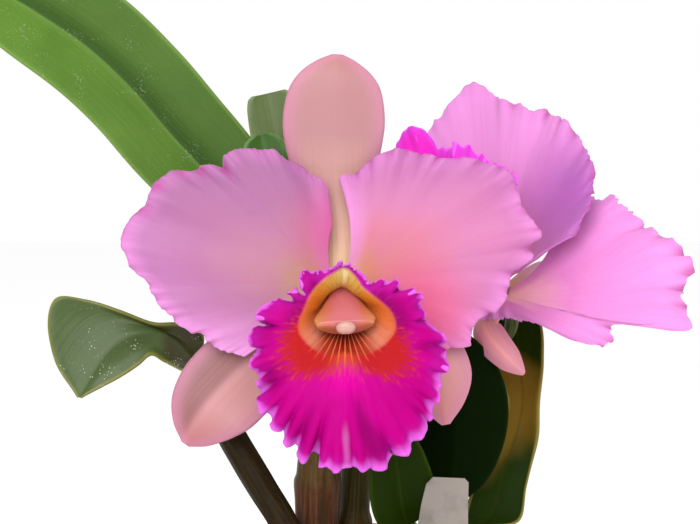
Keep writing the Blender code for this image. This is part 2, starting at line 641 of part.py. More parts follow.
def make_rhizome(look, plant, cutters):
    """Two joined runs of creeping stem, and the fatter cutters that seat what touches them."""
    rings = RHIZOME_RINGS
    radius = [(n / rings, RHIZOME_RADIUS + (0.5 if n % 3 == 1 else -0.1)) for n in range(rings + 1)]
    runs = [stem(f"rhizome_run_{n}", 10, rings, stalk_place(path, radius), look, plant)
            for n, path in enumerate(RHIZOME_PATHS)]
    wide = [as_cutter(stem(f"rhizome_cutter_{n}", 10, rings, stalk_place(lengthened(path), radius, SEAT_GAP),
                           look, cutters)) for n, path in enumerate(RHIZOME_PATHS)]
    rhizome, other = runs
    combine(rhizome, other, "UNION", "MANIFOLD")
    bpy.data.objects.remove(other, do_unlink=True)
    rhizome.name = "rhizome"
    return rhizome, wide


def make_label(look, plant, cutters):
    """A plain plastic tag leaning in the bark, and the slot that it stands in."""
    lean = Matrix.Translation(Vector(LABEL_PLACE) * MM) @ Matrix.Rotation(math.radians(LABEL_LEAN), 4, "Y")
    made = []
    for name, extra, group in (("plant_label", 0.0, plant), ("label_cutter", LABEL_SLOT_GAP, cutters)):
        curve = bpy.data.curves.new(name, "CURVE")
        curve.dimensions = "2D"
        curve.fill_mode = "BOTH"
        curve.extrude = (LABEL_THICKNESS / 2 + extra) * MM
        line = curve.splines.new("POLY")
        line.points.add(len(LABEL_OUTLINE) - 1)
        line.use_cyclic_u = True
        for spot, (x, y) in zip(line.points, LABEL_OUTLINE):
            grow = 1 + extra / 10
            spot.co = (x * grow * MM, (y * grow - extra) * MM, 0, 1)
        draft = bpy.data.objects.new(name + "_outline", curve)
        group.objects.link(draft)
        draft.matrix_world = lean @ Matrix.Rotation(math.radians(90), 4, "X")
        bpy.context.view_layer.update()
        flat = bpy.data.meshes.new_from_object(draft.evaluated_get(bpy.context.evaluated_depsgraph_get()))
        bm = bmesh.new()
        bm.from_mesh(flat)
        bmesh.ops.remove_doubles(bm, verts=bm.verts[:], dist=1e-6)
        bmesh.ops.triangulate(bm, faces=bm.faces[:])
        obj = finish_object(name, bm, look, group)
        obj.matrix_world = draft.matrix_world
        bpy.data.objects.remove(draft, do_unlink=True)
        made.append(obj)
    return made[0], as_cutter(made[1])


def make_stem(name, look, plant, rhizome_cutters):
    """A swollen stem, cut to sit on the rhizome."""
    shape = STEMS[name]
    body = stem(name, STEM_SIDES, STEM_RINGS, stalk_place(shape["axis"], shape["radius"]), look, plant)
    for cutter in rhizome_cutters:
        combine(body, cutter, "DIFFERENCE")
    return body


def make_bloom(name, looks, plant):
    bloom = BLOOMS[name]
    matrix = bloom_matrix(bloom)
    for side, sepal in bloom["sepals"].items():
        sheet(f"{name}_sepal_{side}", SEPAL_ACROSS, SEPAL_ALONG, blade_place(sepal, matrix), SEPAL_THICKNESS,
              looks["sepal"], plant)
    for side, petal in bloom["petals"].items():
        sheet(f"{name}_petal_{side}", PETAL_COLUMNS, PETAL_ROWS, petal_place(petal, matrix), PETAL_THICKNESS,
              looks["petal"], plant)
    lip = bloom["lip"]
    sheet(f"{name}_lip", LIP_COLUMNS, LIP_ROWS, lip_place(lip, matrix), LIP_THICKNESS, looks["lip"], plant)
    stem(f"{name}_column", COLUMN_SIDES, COLUMN_RINGS, column_place(lip, matrix), looks["column"], plant)
    add_anther_cap(f"{name}_anther_cap", lip, matrix, looks["cap"], plant)
    path = [matrix @ Vector((0, 0, z)) for z in (0.5, -5.5)] + [Vector(point) for point in bloom["stalk"]]
    stem(f"{name}_pedicel", STALK_SIDES, STALK_RINGS, stalk_place(path, STALK_RADIUS), looks["stalk"], plant)


def make_sheath(look, plant):
    """An open, papery tube that both flower stalks rise through."""
    place = stalk_place(SHEATH_AXIS, SHEATH_RADIUS)
    bm = bmesh.new()
    bmesh.ops.create_grid(bm, x_segments=12, y_segments=4, size=0.5)
    for vert in bm.verts:
        vert.co = place(vert.co.x + 0.5, vert.co.y + 0.5) * MM
    bmesh.ops.remove_doubles(bm, verts=bm.verts[:], dist=1e-6)
    bmesh.ops.triangulate(bm, faces=bm.faces[:])
    bmesh.ops.recalc_face_normals(bm, faces=bm.faces[:])
    sheath = finish_object("floral_sheath", bm, look, plant)
    shell = sheath.modifiers.new("thickness", "SOLIDIFY")
    shell.thickness = SHEATH_WALL * MM
    shell.offset = 0.0
    return sheath


def main():
    clear_scene()
    plant = new_collection("cattleya_orchid")
    cutters = new_collection("cutters")
    looks = {
        "pot": new_material("terracotta", (0.36, 0.13, 0.06), 0.85),
        "bark": new_material("fir_bark", (0.13, 0.06, 0.03), 0.9),
        "label": new_material("label_plastic", (0.6, 0.56, 0.52), 0.45),
        "leaf": new_material("leaf_green", (0.08, 0.19, 0.04), 0.4),
        "stem": new_material("stem_olive", (0.11, 0.09, 0.03), 0.5),
        "sheath": new_material("sheath_green", (0.2, 0.24, 0.08), 0.6),
        "stalk": new_material("stalk_green", (0.24, 0.28, 0.1), 0.5),
        "petal": new_material("petal_pink", (0.72, 0.3, 0.6), 0.5),
        "sepal": new_material("sepal_salmon", (0.72, 0.38, 0.42), 0.5),
        "lip": new_material("lip_magenta", (0.8, 0.01, 0.4), 0.5),
        "column": new_material("column_cream", (0.8, 0.42, 0.32), 0.45),
        "cap": new_material("cap_cream", (0.86, 0.66, 0.6), 0.4),
    }
    make_pot(looks["pot"], plant, cutters)
    rhizome, rhizome_cutters = make_rhizome(looks["stem"], plant, cutters)
    label, label_cutter = make_label(looks["label"], plant, cutters)
    make_bark(looks["bark"], plant, cutters, rhizome_cutters, label_cutter)
    for name in STEMS:
        make_stem(name, looks["stem"], plant, rhizome_cutters)
    for name, shape in LEAVES.items():
        sheet(name, LEAF_ACROSS, LEAF_ALONG, blade_place(shape), LEAF_THICKNESS, looks["leaf"], plant)
    make_sheath(looks["sheath"], plant)
    for name in BLOOMS:
        make_bloom(name, looks, plant)


main()
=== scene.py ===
# A potted cattleya orchid in flower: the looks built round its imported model, in metres, with +Z up.
import math
from functools import partial

import bmesh
import bpy
import numpy as np
from mathutils import Matrix, Vector


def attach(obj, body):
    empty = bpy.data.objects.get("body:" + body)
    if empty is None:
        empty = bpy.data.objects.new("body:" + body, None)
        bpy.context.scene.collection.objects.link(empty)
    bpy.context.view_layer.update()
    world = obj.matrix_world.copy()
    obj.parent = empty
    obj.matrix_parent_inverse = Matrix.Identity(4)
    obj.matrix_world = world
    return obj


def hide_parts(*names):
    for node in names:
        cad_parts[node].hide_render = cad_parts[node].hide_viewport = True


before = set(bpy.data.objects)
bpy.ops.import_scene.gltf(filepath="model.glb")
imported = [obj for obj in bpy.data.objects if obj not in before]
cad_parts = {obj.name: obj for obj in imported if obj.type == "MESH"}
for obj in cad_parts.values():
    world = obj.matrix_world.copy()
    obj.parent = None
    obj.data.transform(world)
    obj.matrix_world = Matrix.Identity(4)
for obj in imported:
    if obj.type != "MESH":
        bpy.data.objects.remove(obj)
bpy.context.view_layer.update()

mm = 0.001
fullTurn = 2 * math.pi

# settings that many nodes share
asColour = {"data_type": "RGBA"}
asFloat = {"data_type": "FLOAT"}
onPoints = {"data_type": "FLOAT", "domain": "POINT"}
smoothStep = {"interpolation_type": "SMOOTHSTEP"}
linear = {"interpolation_type": "LINEAR"}
plus = {"operation": "ADD"}
minus = {"operation": "SUBTRACT"}
times = {"operation": "MULTIPLY"}
timesPlus = {"operation": "MULTIPLY_ADD"}
scaled = {"operation": "SCALE"}
absolute = {"operation": "ABSOLUTE"}


# camera and light

# The photograph looks 5 degrees down at the front bloom from 700 mm, and sees 248.5 mm across there.
cameraView = {"target": (0, -40, 227), "distance": 700, "down": 5, "sensor": 36, "seenWidth": 248.5}
# A white room with a large lamp high in front and a weak one from the right, as the soft shadows show.
# A lamp is its place, width and power.
studioLight = {
    "room": {"Color": "#ffffff", "Strength": 1.0},
    "lamps": {"windowLight": ((-170, -900, 700), 900, 11), "fillLight": ((700, -500, 420), 700, 1.0)},
    "aim": (0, 0, 210), "floorSize": 6000, "paper": {"Base Color": "#fbfbfb", "Roughness": 0.9},
}


# sRGB hex to the linear colour that a socket takes
def hexColour(text):
    parts = [int(text[i:i + 2], 16) / 255 for i in (1, 3, 5)]
    return tuple(c / 12.92 if c <= 0.04045 else ((c + 0.055) / 1.055) ** 2.4 for c in parts) + (1.0,)


# Adds one node with its settings; an input is a value, a hex colour or a socket to link. Returns an output.
def addNode(tree, kind, settings=None, inputs=None, out=0, stops=None):
    node = tree.nodes.new(kind)
    for name, value in (settings or {}).items():
        setattr(node, name, value)
    for key, value in (inputs or {}).items():
        if isinstance(value, bpy.types.NodeSocket):
            tree.links.new(value, node.inputs[key])
        elif isinstance(value, str) and value.startswith("#"):
            node.inputs[key].default_value = hexColour(value)
        else:
            node.inputs[key].default_value = value
    if stops:
        elements = node.color_ramp.elements
        while len(elements) < len(stops):
            elements.new(1.0)
        for element, (place, colour) in zip(elements, stops):
            element.position = place
            element.color = hexColour(colour)
    return node.outputs[out] if node.outputs else node


def newObject(name, data):
    made = bpy.data.objects.new(name, data)
    bpy.context.scene.collection.objects.link(made)
    return made


# Makes an object of a finished bmesh, and frees the bmesh.
def bmeshObject(name, bm):
    mesh = bpy.data.meshes.new(name)
    bm.to_mesh(mesh)
    bm.free()
    return newObject(name, mesh)


def setCamera():
    tilt = math.radians(cameraView["down"])
    forward = Vector((0, math.cos(tilt), -math.sin(tilt)))
    lens = bpy.data.cameras.new("photoView")
    lens.sensor_width = cameraView["sensor"]
    lens.lens = cameraView["sensor"] * cameraView["distance"] / cameraView["seenWidth"]
    camera = newObject("photoView", lens)
    camera.location = (Vector(cameraView["target"]) - forward * cameraView["distance"]) * mm
    camera.rotation_euler = (math.pi / 2 - tilt, 0, 0)
    bpy.context.scene.camera = camera


def setStudio():
    light = studioLight
    world = bpy.data.worlds.new("whiteRoom")
    world.use_nodes = True
    world.node_tree.nodes.clear()
    add = partial(addNode, world.node_tree)
    glow = add("ShaderNodeBackground", inputs=light["room"])
    add("ShaderNodeOutputWorld", inputs={"Surface": glow})
    bpy.context.scene.world = world
    bpy.context.scene.view_settings.view_transform = "Standard"
    for name, (place, width, power) in light["lamps"].items():
        lamp = bpy.data.lights.new(name, "AREA")
        lamp.shape = "DISK"
        lamp.size = width * mm
        lamp.energy = power
        holder = newObject(name, lamp)
        holder.location = Vector(place) * mm
        holder.rotation_euler = (Vector(light["aim"]) - Vector(place)).to_track_quat("-Z", "Y").to_euler()
    mesh = bpy.data.meshes.new("floor")
    half = light["floorSize"] * mm / 2
    corners = [(-half, -half, 0), (half, -half, 0), (half, half, 0), (-half, half, 0)]
    mesh.from_pydata(corners, [], [(0, 1, 2, 3)])
    mesh.materials.append(newLook("paperFloor", light["paper"])[0])
    newObject("floor", mesh)


# Starts a material with its shader's settings, the marks of its piece and noises as (scale, detail). Returns
# it, its node adder, and a list of the marks' values, the place in metres and the noises.
def newLook(name, settings, marks=(), noises=()):
    look = bpy.data.materials.new(name)
    look.use_nodes = True
    shader = look.node_tree.nodes["Principled BSDF"]
    for socket, value in settings.items():
        shader.inputs[socket].default_value = hexColour(value) if isinstance(value, str) else value
    add = partial(addNode, look.node_tree)
    read = [add("ShaderNodeAttribute", {"attribute_name": mark}, out=2) for mark in marks]
    place = add("ShaderNodeTexCoord", out=3)
    read.append(place)
    for scale, detail in noises:
        read.append(add("ShaderNodeTexNoise", inputs={"Vector": place, "Scale": scale, "Detail": detail}))
    return look, add, read


# Lays tones over a colour in turn. A layer is its tone, the value that it follows, where it starts, where it is
# full, its share there, and further masks that hold it back.
def layTones(add, colour, layers, step=smoothStep):
    for tone, value, start, full, share, *masks in layers:
        mask = add("ShaderNodeMapRange", step, {"Value": value, 1: start, 2: full, 3: 0.0, 4: share})
        for other in masks:
            mask = add("ShaderNodeMath", times, {0: mask, 1: other})
        colour = add("ShaderNodeMix", asColour, {0: mask, 6: colour, 7: tone}, out=2)
    return colour


# Noise drawn out along a blade into veins: it changes fast across it and slowly along it.
def fineVeins(add, across, along, pace, scale, detail):
    slow = add("ShaderNodeMath", times, {0: along, 1: pace})
    strip = add("ShaderNodeCombineXYZ", inputs={0: across, 1: slow})
    return add("ShaderNodeTexNoise", inputs={"Vector": strip, "Scale": scale, "Detail": detail})


# A colour ramp whose place wanders a little with a noise.
def wanderingRamp(add, value, noise, swing, stops):
    shift = add("ShaderNodeMapRange", inputs={"Value": noise, 1: 0.3, 2: 0.7, 3: -swing, 4: swing})
    shifted = add("ShaderNodeMath", plus, {0: value, 1: shift})
    return add("ShaderNodeValToRGB", inputs={0: shifted}, stops=stops)


# Ends a material with its colour and its relief.
def endLook(look, add, colour, relief, strength, depth):
    bump = add("ShaderNodeBump", inputs={"Height": relief, "Strength": strength, "Distance": depth})
    shader = look.node_tree.nodes["Principled BSDF"]
    look.node_tree.links.new(colour, shader.inputs["Base Color"])
    look.node_tree.links.new(bump, shader.inputs["Normal"])
    return look


setCamera()
setStudio()
print("camera and studio set")


# shapes shared by every part of the plant

# Smooth values at places along (place, value) stops, the curve that the solids follow too.
def smoothAt(stops, places):
    xs, ys = np.array(stops, float).T
    x = np.clip(np.asarray(places, float), xs[0], xs[-1])
    i = np.clip(np.searchsorted(xs, x, side="right") - 1, 0, len(xs) - 2)
    before = np.maximum(i - 1, 0)
    after = np.minimum(i + 2, len(xs) - 1)
    span = xs[i + 1] - xs[i]
    leave = (ys[i + 1] - ys[before]) / (xs[i + 1] - xs[before]) * span
    reach = (ys[after] - ys[i]) / (xs[after] - xs[i]) * span
    t = (x - xs[i]) / span
    return (ys[i] * (2 * t ** 3 - 3 * t ** 2 + 1) + leave * (t ** 3 - 2 * t ** 2 + t)
            + ys[i + 1] * (3 * t ** 2 - 2 * t ** 3) + reach * (t ** 3 - t ** 2))


# Points on a smooth curve through evenly counted points, one row for each share.
def curveAt(points, shares):
    last = len(points) - 1
    axes = [smoothAt([(n / last, p[axis]) for n, p in enumerate(points)], shares) for axis in range(3)]
    return np.stack(axes, axis=-1)


def pathLength(points):
    return np.linalg.norm(np.diff(np.array(points, float), axis=0), axis=1).sum()


def unit(vectors):
    return vectors / np.linalg.norm(vectors, axis=-1, keepdims=True)


# Centre, sideways and upward directions along a blade or stem.
def framesAt(points, across, shares):
    step = 0.01
    before, after = np.maximum(shares - step, 0), np.minimum(shares + step, 1)
    ahead = unit(curveAt(points, after) - curveAt(points, before))
    side = curveAt(across, shares)
    side = unit(side - ahead * np.sum(side * ahead, axis=-1, keepdims=True))
    return curveAt(points, shares), side, np.cross(side, ahead)


# Points that lie so far sideways and upwards of each place on a line.
def offLine(centre, side, up, sideways, upwards):
    return centre[:, None, :] + side[:, None, :] * sideways[..., None] + up[:, None, :] * upwards[..., None]


# Seeded wavy values from -1 to 1 along 0 to 1, with so many bumps; the same seed gives the same margin.
def ripples(places, bumps, seed):
    heights = np.random.default_rng(seed).uniform(-1, 1, bumps + 3)
    x = np.clip(places, 0, 1) * bumps
    i = np.floor(x).astype(int)
    t = x - i
    t = t * t * (3 - 2 * t)
    return heights[i] * (1 - t) + heights[i + 1] * t


def applyModifiers(piece):
    bpy.context.view_layer.update()
    graph = bpy.context.evaluated_depsgraph_get()
    result = bpy.data.meshes.new_from_object(piece.evaluated_get(graph))
    piece.modifiers.clear()
    if piece.type == "MESH":
        piece.data = result
        return piece
    name = piece.name
    bpy.data.objects.remove(piece, do_unlink=True)
    return newObject(name, result)


# Hands a finished piece to the frame: it rides on the plant and stands for its solids.
def hand(piece, slot, *replaced):
    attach(piece, "root")
    if replaced:
        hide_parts(*replaced)
    return piece


# A mesh from a grid of points in millimetres, with named values for its material to read.
def gridPiece(name, points, marks, material, closed=False):
    rows, columns = points.shape[:2]
    mesh = bpy.data.meshes.new(name)
    wrap = columns if closed else columns - 1
    faces = [(r * columns + c, r * columns + (c + 1) % columns,
              (r + 1) * columns + (c + 1) % columns, (r + 1) * columns + c)
             for r in range(rows - 1) for c in range(wrap)]
    mesh.from_pydata((points.reshape(-1, 3) * mm).tolist(), [], faces)
    for mark, values in marks.items():
        field = mesh.attributes.new(mark, "FLOAT", "POINT")
        field.data.foreach_set("value", np.broadcast_to(values, (rows, columns)).astype(np.float32).ravel())
    mesh.materials.append(material)
    mesh.shade_smooth()
    return newObject(name, mesh)


# Starts a Geometry Nodes tree with inputs as name: socket kind. Returns it, its node adder and the inputs.
def startTree(name, sockets):
    tree = bpy.data.node_groups.new(name, "GeometryNodeTree")
    for socket, kind in {"Geometry": "Geometry", **sockets}.items():
        tree.interface.new_socket(name=socket, in_out="INPUT", socket_type="NodeSocket" + kind)
    tree.interface.new_socket(name="Geometry", in_out="OUTPUT", socket_type="NodeSocketGeometry")
    return tree, partial(addNode, tree), tree.nodes.new("NodeGroupInput").outputs


# Ends a tree: real geometry with its material.
def endTree(tree, geometry, material):
    whole = addNode(tree, "GeometryNodeRealizeInstances", inputs={"Geometry": geometry})
    dressed = addNode(tree, "GeometryNodeSetMaterial", inputs={"Geometry": whole, "Material": material})
    addNode(tree, "NodeGroupOutput", inputs={0: dressed})
    return tree


# Puts a tree on a piece with its values.
def growWith(piece, tree, values):
    growth = piece.modifiers.new(tree.name, "NODES")
    growth.node_group = tree
    for item in tree.interface.items_tree:
        if item.in_out == "INPUT" and item.name in values:
            growth[item.identifier] = values[item.name]


# Gives a blade its thickness: a share of it at the margin, and more with each millimetre inwards.
def thicken(piece, thickness, edge=None, share=0.4, depth=8):
    shell = piece.modifiers.new("thickness", "SOLIDIFY")
    shell.thickness = thickness * mm
    shell.offset = 0
    if edge is not None:
        group = piece.vertex_groups.new(name="body")
        for n, weight in enumerate(np.clip(share + edge / depth, 0, 1).ravel().tolist()):
            group.add([n], weight, "REPLACE")
        shell.vertex_group = "body"
    return applyModifiers(piece)


# leaves

# Living leaf: a waxy cuticle over green flesh, grown smooth. It gives a satin gloss with long fine veins.
leafFinish = {
    "Roughness": 0.36, "IOR": 1.45, "Coat Roughness": 0.3, "Subsurface Weight": 0.05,
    "Subsurface Radius": (0.4, 1.0, 0.2), "Subsurface Scale": 0.002,
}
leafVeins = {"pace": 0.03, "scale": 1 / 1.6, "detail": 2.0}


# A leaf skin: rust browns it, dust sprinkles pale specks, shade darkens the half past its midrib.
def leafSkin(name, deep, light, midrib, margin, rust=None, dust=0.0, gloss=0.25, shade=None):
    look, add, (across, along, edge, place, patches, cuticle) = newLook(
        name, {**leafFinish, "Specular IOR Level": gloss, "Coat Weight": 0.1 * gloss},
        ("across", "along", "edge"), ((38.0, 3.0), (900.0, 2.0)))
    green = add("ShaderNodeMix", asColour, {0: patches, 6: deep, 7: light}, out=2)
    veins = fineVeins(add, across, along, **leafVeins)
    green = layTones(add, green, [(light, veins, 0.45, 0.62, 0.14)], linear)
    layers = []
    if shade:
        fade = add("ShaderNodeMapRange", smoothStep, {"Value": across, 1: 13.0, 2: 1.0, 3: 0.45, 4: 1.0})
        layers.append((shade, across, -0.4, 0.5, 1.0, fade))
    if rust:
        spread = add("ShaderNodeTexNoise", inputs={"Vector": place, "Scale": 22.0, "Detail": 4.0})
        rusty = add("ShaderNodeAttribute", {"attribute_name": "rust"}, out=2)
        layers.append((rust, add("ShaderNodeMath", plus, {0: spread, 1: rusty}), 0.75, 1.15, 1.0))
    offRib = add("ShaderNodeMath", absolute, {0: across})
    layers += [(midrib, offRib, 1.2, 0.2, 0.3), (margin, edge, 1.3, 0.2, 0.8)]
    green = layTones(add, green, layers)
    if dust:
        specks = add("ShaderNodeTexVoronoi", inputs={"Vector": place, "Scale": 950.0})
        some = add("ShaderNodeTexNoise", inputs={"Vector": place, "Scale": 90.0, "Detail": 2.0})
        reach = add("ShaderNodeMapRange", inputs={"Value": some, 1: 0.45, 2: 0.7, 3: 0.0, 4: 0.34})
        dots = add("ShaderNodeMath", {"operation": "LESS_THAN"}, {0: specks, 1: reach})
        dots = add("ShaderNodeMath", times, {0: dots, 1: dust})
        green = add("ShaderNodeMix", asColour, {0: dots, 6: green, 7: "#d5dcc8"}, out=2)
    relief = add("ShaderNodeMath", timesPlus, {0: cuticle, 1: 0.25, 2: veins})
    return endLook(look, add, green, relief, 0.35, 0.0004)


leafShape = {
    "thickness": 1.7, "across": 36, "along": 136, "tipCrowding": 1.35, "foldSoftness": 0.2,
    "waveHeight": 0.5, "bumps": (11, 9),
}
# Millimetres and degrees. A leaf has points along its midrib, its direction across at each, and its half width
# by share of its length, or two edges of its own.
leaves = {
    "leaf_large": {
        "midrib": ((-14.3, 32.5, 207.8), (-25, 35, 223), (-47, 38, 245.5), (-69, 37, 269), (-85, 34, 288),
            (-102, 29, 304.5), (-122, 23, 318.5), (-142, 17, 331), (-157, 13, 347)),
        "across": ((0.6, -0.5, 0.5), (0.66, -0.2, 0.7), (0.69, 0.05, 0.72), (0.72, 0.1, 0.69),
            (0.72, 0.1, 0.69), (0.66, 0.1, 0.75), (0.56, 0.1, 0.82), (0.6, 0.1, 0.8), (0.76, 0.1, 0.65)),
        "halfWidth": ((0, 2.6), (0.07, 8.2), (0.18, 18.5), (0.3, 24.6), (0.5, 25.6), (0.75, 24.6),
            (0.9, 17.5), (0.97, 9.5), (1, 2.0)),
        "skew": 0.07, "fold": 34, "softness": 0.07,
        "skin": {
            "deep": "#3c6018", "light": "#5c7c2e", "midrib": "#5a7a2c", "margin": "#5f7c30",
            "shade": "#2c4a10", "dust": 0.12,
        },
    },
    "leaf_left_small": {
        "midrib": ((-58.1, -4.8, 185.7), (-61.8, -6, 191), (-67, -7, 196), (-75, -8.5, 198),
            (-84, -10.5, 195.5), (-92, -13, 188), (-99.8, -16, 174.6)),
        "across": ((-0.3, -0.6, 0.7), (-0.2, -0.3, 0.9), (-0.1, 0.1, 1), (-0.4, 0.2, 0.85),
            (-0.8, 0.25, 0.5), (-0.9, 0.25, 0.35), (-0.9, 0.25, 0.4)),
        "leftEdge": ((-55, -5.2, 189), (-55.2, -6.4, 197.6), (-64, -7.6, 201.2), (-73.4, -8.5, 201.6),
            (-85.3, -9.8, 206.2), (-98, -10.5, 210.4), (-108.6, -11.5, 211), (-111.8, -13, 202),
            (-108.8, -14.5, 187.5), (-100.4, -16, 174.8)),
        "rightEdge": ((-56.6, -4.6, 184.4), (-62, -5.5, 182.8), (-69, -7, 186.5), (-74, -9, 189.5),
            (-79, -11.5, 185.8), (-87, -14, 180.8), (-99.4, -16, 174.6)),
        "sag": 2.2,
        "skin": {
            "deep": "#2c3f1b", "light": "#46562c", "midrib": "#30411c", "margin": "#6f6d2e", "dust": 0.35,
            "rust": "#2d2c0b",
        },
        "rustAt": 0.1,
    },
    "leaf_back_upright": {
        "midrib": ((7.6, 16.0, 176.9), (1.4, 21, 198), (-11.6, 20, 226), (-24, 19.5, 256),
            (-31.2, 20.5, 286.6)),
        "across": ((0.8, -0.4, 0.4), (0.85, -0.3, 0.4), (0.9, -0.1, 0.3), (0.96, 0, 0.2), (0.99, 0, 0.1)),
        "halfWidth": ((0, 2.8), (0.2, 8), (0.5, 12.5), (0.8, 11), (0.95, 9.8), (0.99, 8.4), (1, 6.6)),
        "fold": 14,
        "skin": {"deep": "#3e5028", "light": "#5d6b3f", "midrib": "#506033", "margin": "#6a774d"},
    },
    "leaf_back_rounded": {
        "midrib": ((-11.4, 7.4, 180.6), (-15, 9.5, 203), (-23, 9, 232), (-30, 8, 255), (-33.4, 8.5, 271)),
        "across": ((0.95, -0.3, 0.2), (0.95, -0.15, 0.2), (0.95, -0.1, 0.2), (0.98, 0.05, 0.1),
            (0.99, 0.05, 0.05)),
        "halfWidth": ((0, 2.6), (0.2, 6.5), (0.5, 11), (0.85, 10.5), (0.97, 7.0), (1, 3.6)), "fold": 18,
        "skin": {"deep": "#284b17", "light": "#3d6121", "midrib": "#35591e", "margin": "#587731"},
    },
    # its near-black tones stand for its green in the deep shade under the bloom: painted shade
    "leaf_dark_right": {
        "midrib": ((9.6, 10.5, 177.0), (16, 10.4, 186.5), (25, 11, 188), (34.4, 9, 182), (40, 6, 167),
            (40.4, 4, 150), (37.5, 2, 130)),
        "across": ((0.2, -0.9, 0.5), (0.2, -0.7, 0.7), (0.4, -0.35, 0.85), (0.8, -0.15, 0.6),
            (0.95, -0.1, 0.3), (0.98, -0.1, 0.15), (0.98, -0.1, 0.1)),
        "halfWidth": ((0, 2.6), (0.2, 7), (0.4, 14), (0.6, 20.7), (0.78, 18.8), (0.92, 12), (1, 1.8)),
        "fold": 16,
        "skin": {
            "deep": "#061002", "light": "#0a1803", "midrib": "#0c1c04", "margin": "#12200a", "gloss": 0.01,
        },
    },
    # its very dark tones are partly painted shade under the bloom
    "leaf_twisted_right": {
        "midrib": ((48.7, 9.7, 120.4), (55, 16, 125), (59.4, 21, 139), (65, 27, 153), (68, 33, 166),
            (67.5, 42, 181), (66, 53, 198), (62, 59, 214)),
        "across": ((0.8, 0.5, -0.1), (0.85, 0.4, -0.25), (0.85, 0.4, -0.3), (0.85, 0.4, -0.2),
            (0.9, 0.35, 0.1), (0.95, 0.2, 0.1), (0.93, -0.1, 0.2), (0.9, -0.1, 0.3)),
        "leftEdge": ((44.2, 8.4, 120.6), (44.8, 11.4, 127), (49.8, 16.6, 139.5), (57.4, 23, 154),
            (61.6, 29, 166), (56.4, 40, 180), (55, 51, 197), (61.2, 59, 213.6)),
        "rightEdge": ((51.2, 10.4, 120.2), (65.2, 14, 121.5), (69, 19, 134), (73.2, 24, 151),
            (74.6, 30, 166), (77, 40, 181), (76, 51, 197), (62.8, 59, 213.6)),
        "sag": 0.6, "rustAt": 0.45,
        "skin": {
            "deep": "#0d1801", "light": "#1e3006", "midrib": "#2c3008", "margin": "#84763a",
            "rust": "#624c16", "gloss": 0.02,
        },
    },
    # its very dark tones are partly painted shade under the bloom
    "leaf_new_growth": {
        "midrib": ((20.9, -15.9, 127.4), (19, -19.5, 136), (17.4, -20.5, 148), (16, -19.5, 160),
            (15, -17.5, 170)),
        "across": ((0.95, 0.3, 0), (0.97, 0.2, 0), (0.97, 0.2, 0.1), (0.97, 0.1, 0.1), (0.97, 0.1, 0.1)),
        "halfWidth": ((0, 3.0), (0.12, 10.6), (0.4, 13.4), (0.75, 8.8), (1, 1.4)), "fold": 26,
        "skin": {
            "deep": "#142302", "light": "#1f3004", "midrib": "#2c4209", "margin": "#2a3c08", "gloss": 0.03,
        },
    },
}


# Lays out a lopsided leaf, whose two margins are curves of their own.
def edgedBlade(shape, u, v, centre, up):
    left = curveAt(shape["leftEdge"], v)[:, None, :]
    right = curveAt(shape["rightEdge"], v)[:, None, :]
    middle = centre[:, None, :]
    points = middle + (left - middle) * np.maximum(-u, 0)[..., None]
    points = points + (right - middle) * np.maximum(u, 0)[..., None]
    sag = shape["sag"] * np.abs(u) * (1 - np.abs(u)) * 4 * np.sin(math.pi * v)[:, None]
    points = points - up[:, None, :] * sag[..., None]
    far = np.linalg.norm(points - middle, axis=2)
    reach = np.linalg.norm(np.where(u[..., None] < 0, left, right) - middle, axis=2)
    along = (v * pathLength(centre))[:, None]
    return points, {"across": far * np.sign(u), "along": along, "edge": reach - far}, up


# Lays out a folded blade; returns its points and, for the skin, millimetres across, along and to the edge.
def bladeGrid(shape, acrossCount, alongCount, matrix=None):
    u = np.linspace(-1, 1, acrossCount + 1)[None, :]
    v = 1 - (1 - np.linspace(0, 1, alongCount + 1)) ** leafShape["tipCrowding"]
    centre, side, up = framesAt(shape["midrib"], shape["across"], v)
    if "leftEdge" in shape:
        return edgedBlade(shape, u, v, centre, up)
    half = smoothAt(shape["halfWidth"], v)[:, None]
    fold = math.radians(shape["fold"])
    soft = shape.get("softness", leafShape["foldSoftness"])
    spread = u * (1 + shape.get("skew", 0) * u) * half
    lift = half * math.sin(fold) * (np.hypot(u, soft) - soft)
    points = offLine(centre, side, up, spread * math.cos(fold), lift)
    if matrix is not None:
        points = toPlant(matrix, *np.moveaxis(points, -1, 0))
    along = (v * pathLength(centre))[:, None]
    return points, {"across": spread, "along": along, "edge": (1 - np.abs(u)) * half}, up


# The points of a bloom, in its own axes, as points of the plant.
def toPlant(matrix, x, y, z):
    points = np.stack(np.broadcast_arrays(x, y, z), axis=-1)
    return points @ np.array(matrix.to_3x3()).T + np.array(matrix.translation)


def makeLeaves():
    for name, shape in leaves.items():
        points, marks, up = bladeGrid(shape, leafShape["across"], leafShape["along"])
        u = np.linspace(-1, 1, leafShape["across"] + 1)[None, :]
        v = np.linspace(0, 1, leafShape["along"] + 1)
        bumps, slowBumps = leafShape["bumps"]
        wave = ripples(v, bumps, len(name))[:, None] * u ** 4
        wave = wave + ripples(1 - v, slowBumps, 3)[:, None] * u ** 3 * 0.6
        calm = np.minimum(v * 5, 1)[:, None]
        points = points + up[:, None, :] * (wave * calm * leafShape["waveHeight"])[..., None]
        if "rust" in shape["skin"]:
            marks["rust"] = 0.95 - 3 * np.abs(v[:, None] - shape["rustAt"]) - 0.2 * u
        piece = gridPiece(name + "_blade", points, marks, leafSkin(name + "_skin", **shape["skin"]))
        hand(thicken(piece, leafShape["thickness"], marks["edge"], share=0.45, depth=3), "leaf_green", name)
    print("leaves laid")


makeLeaves()


# blooms

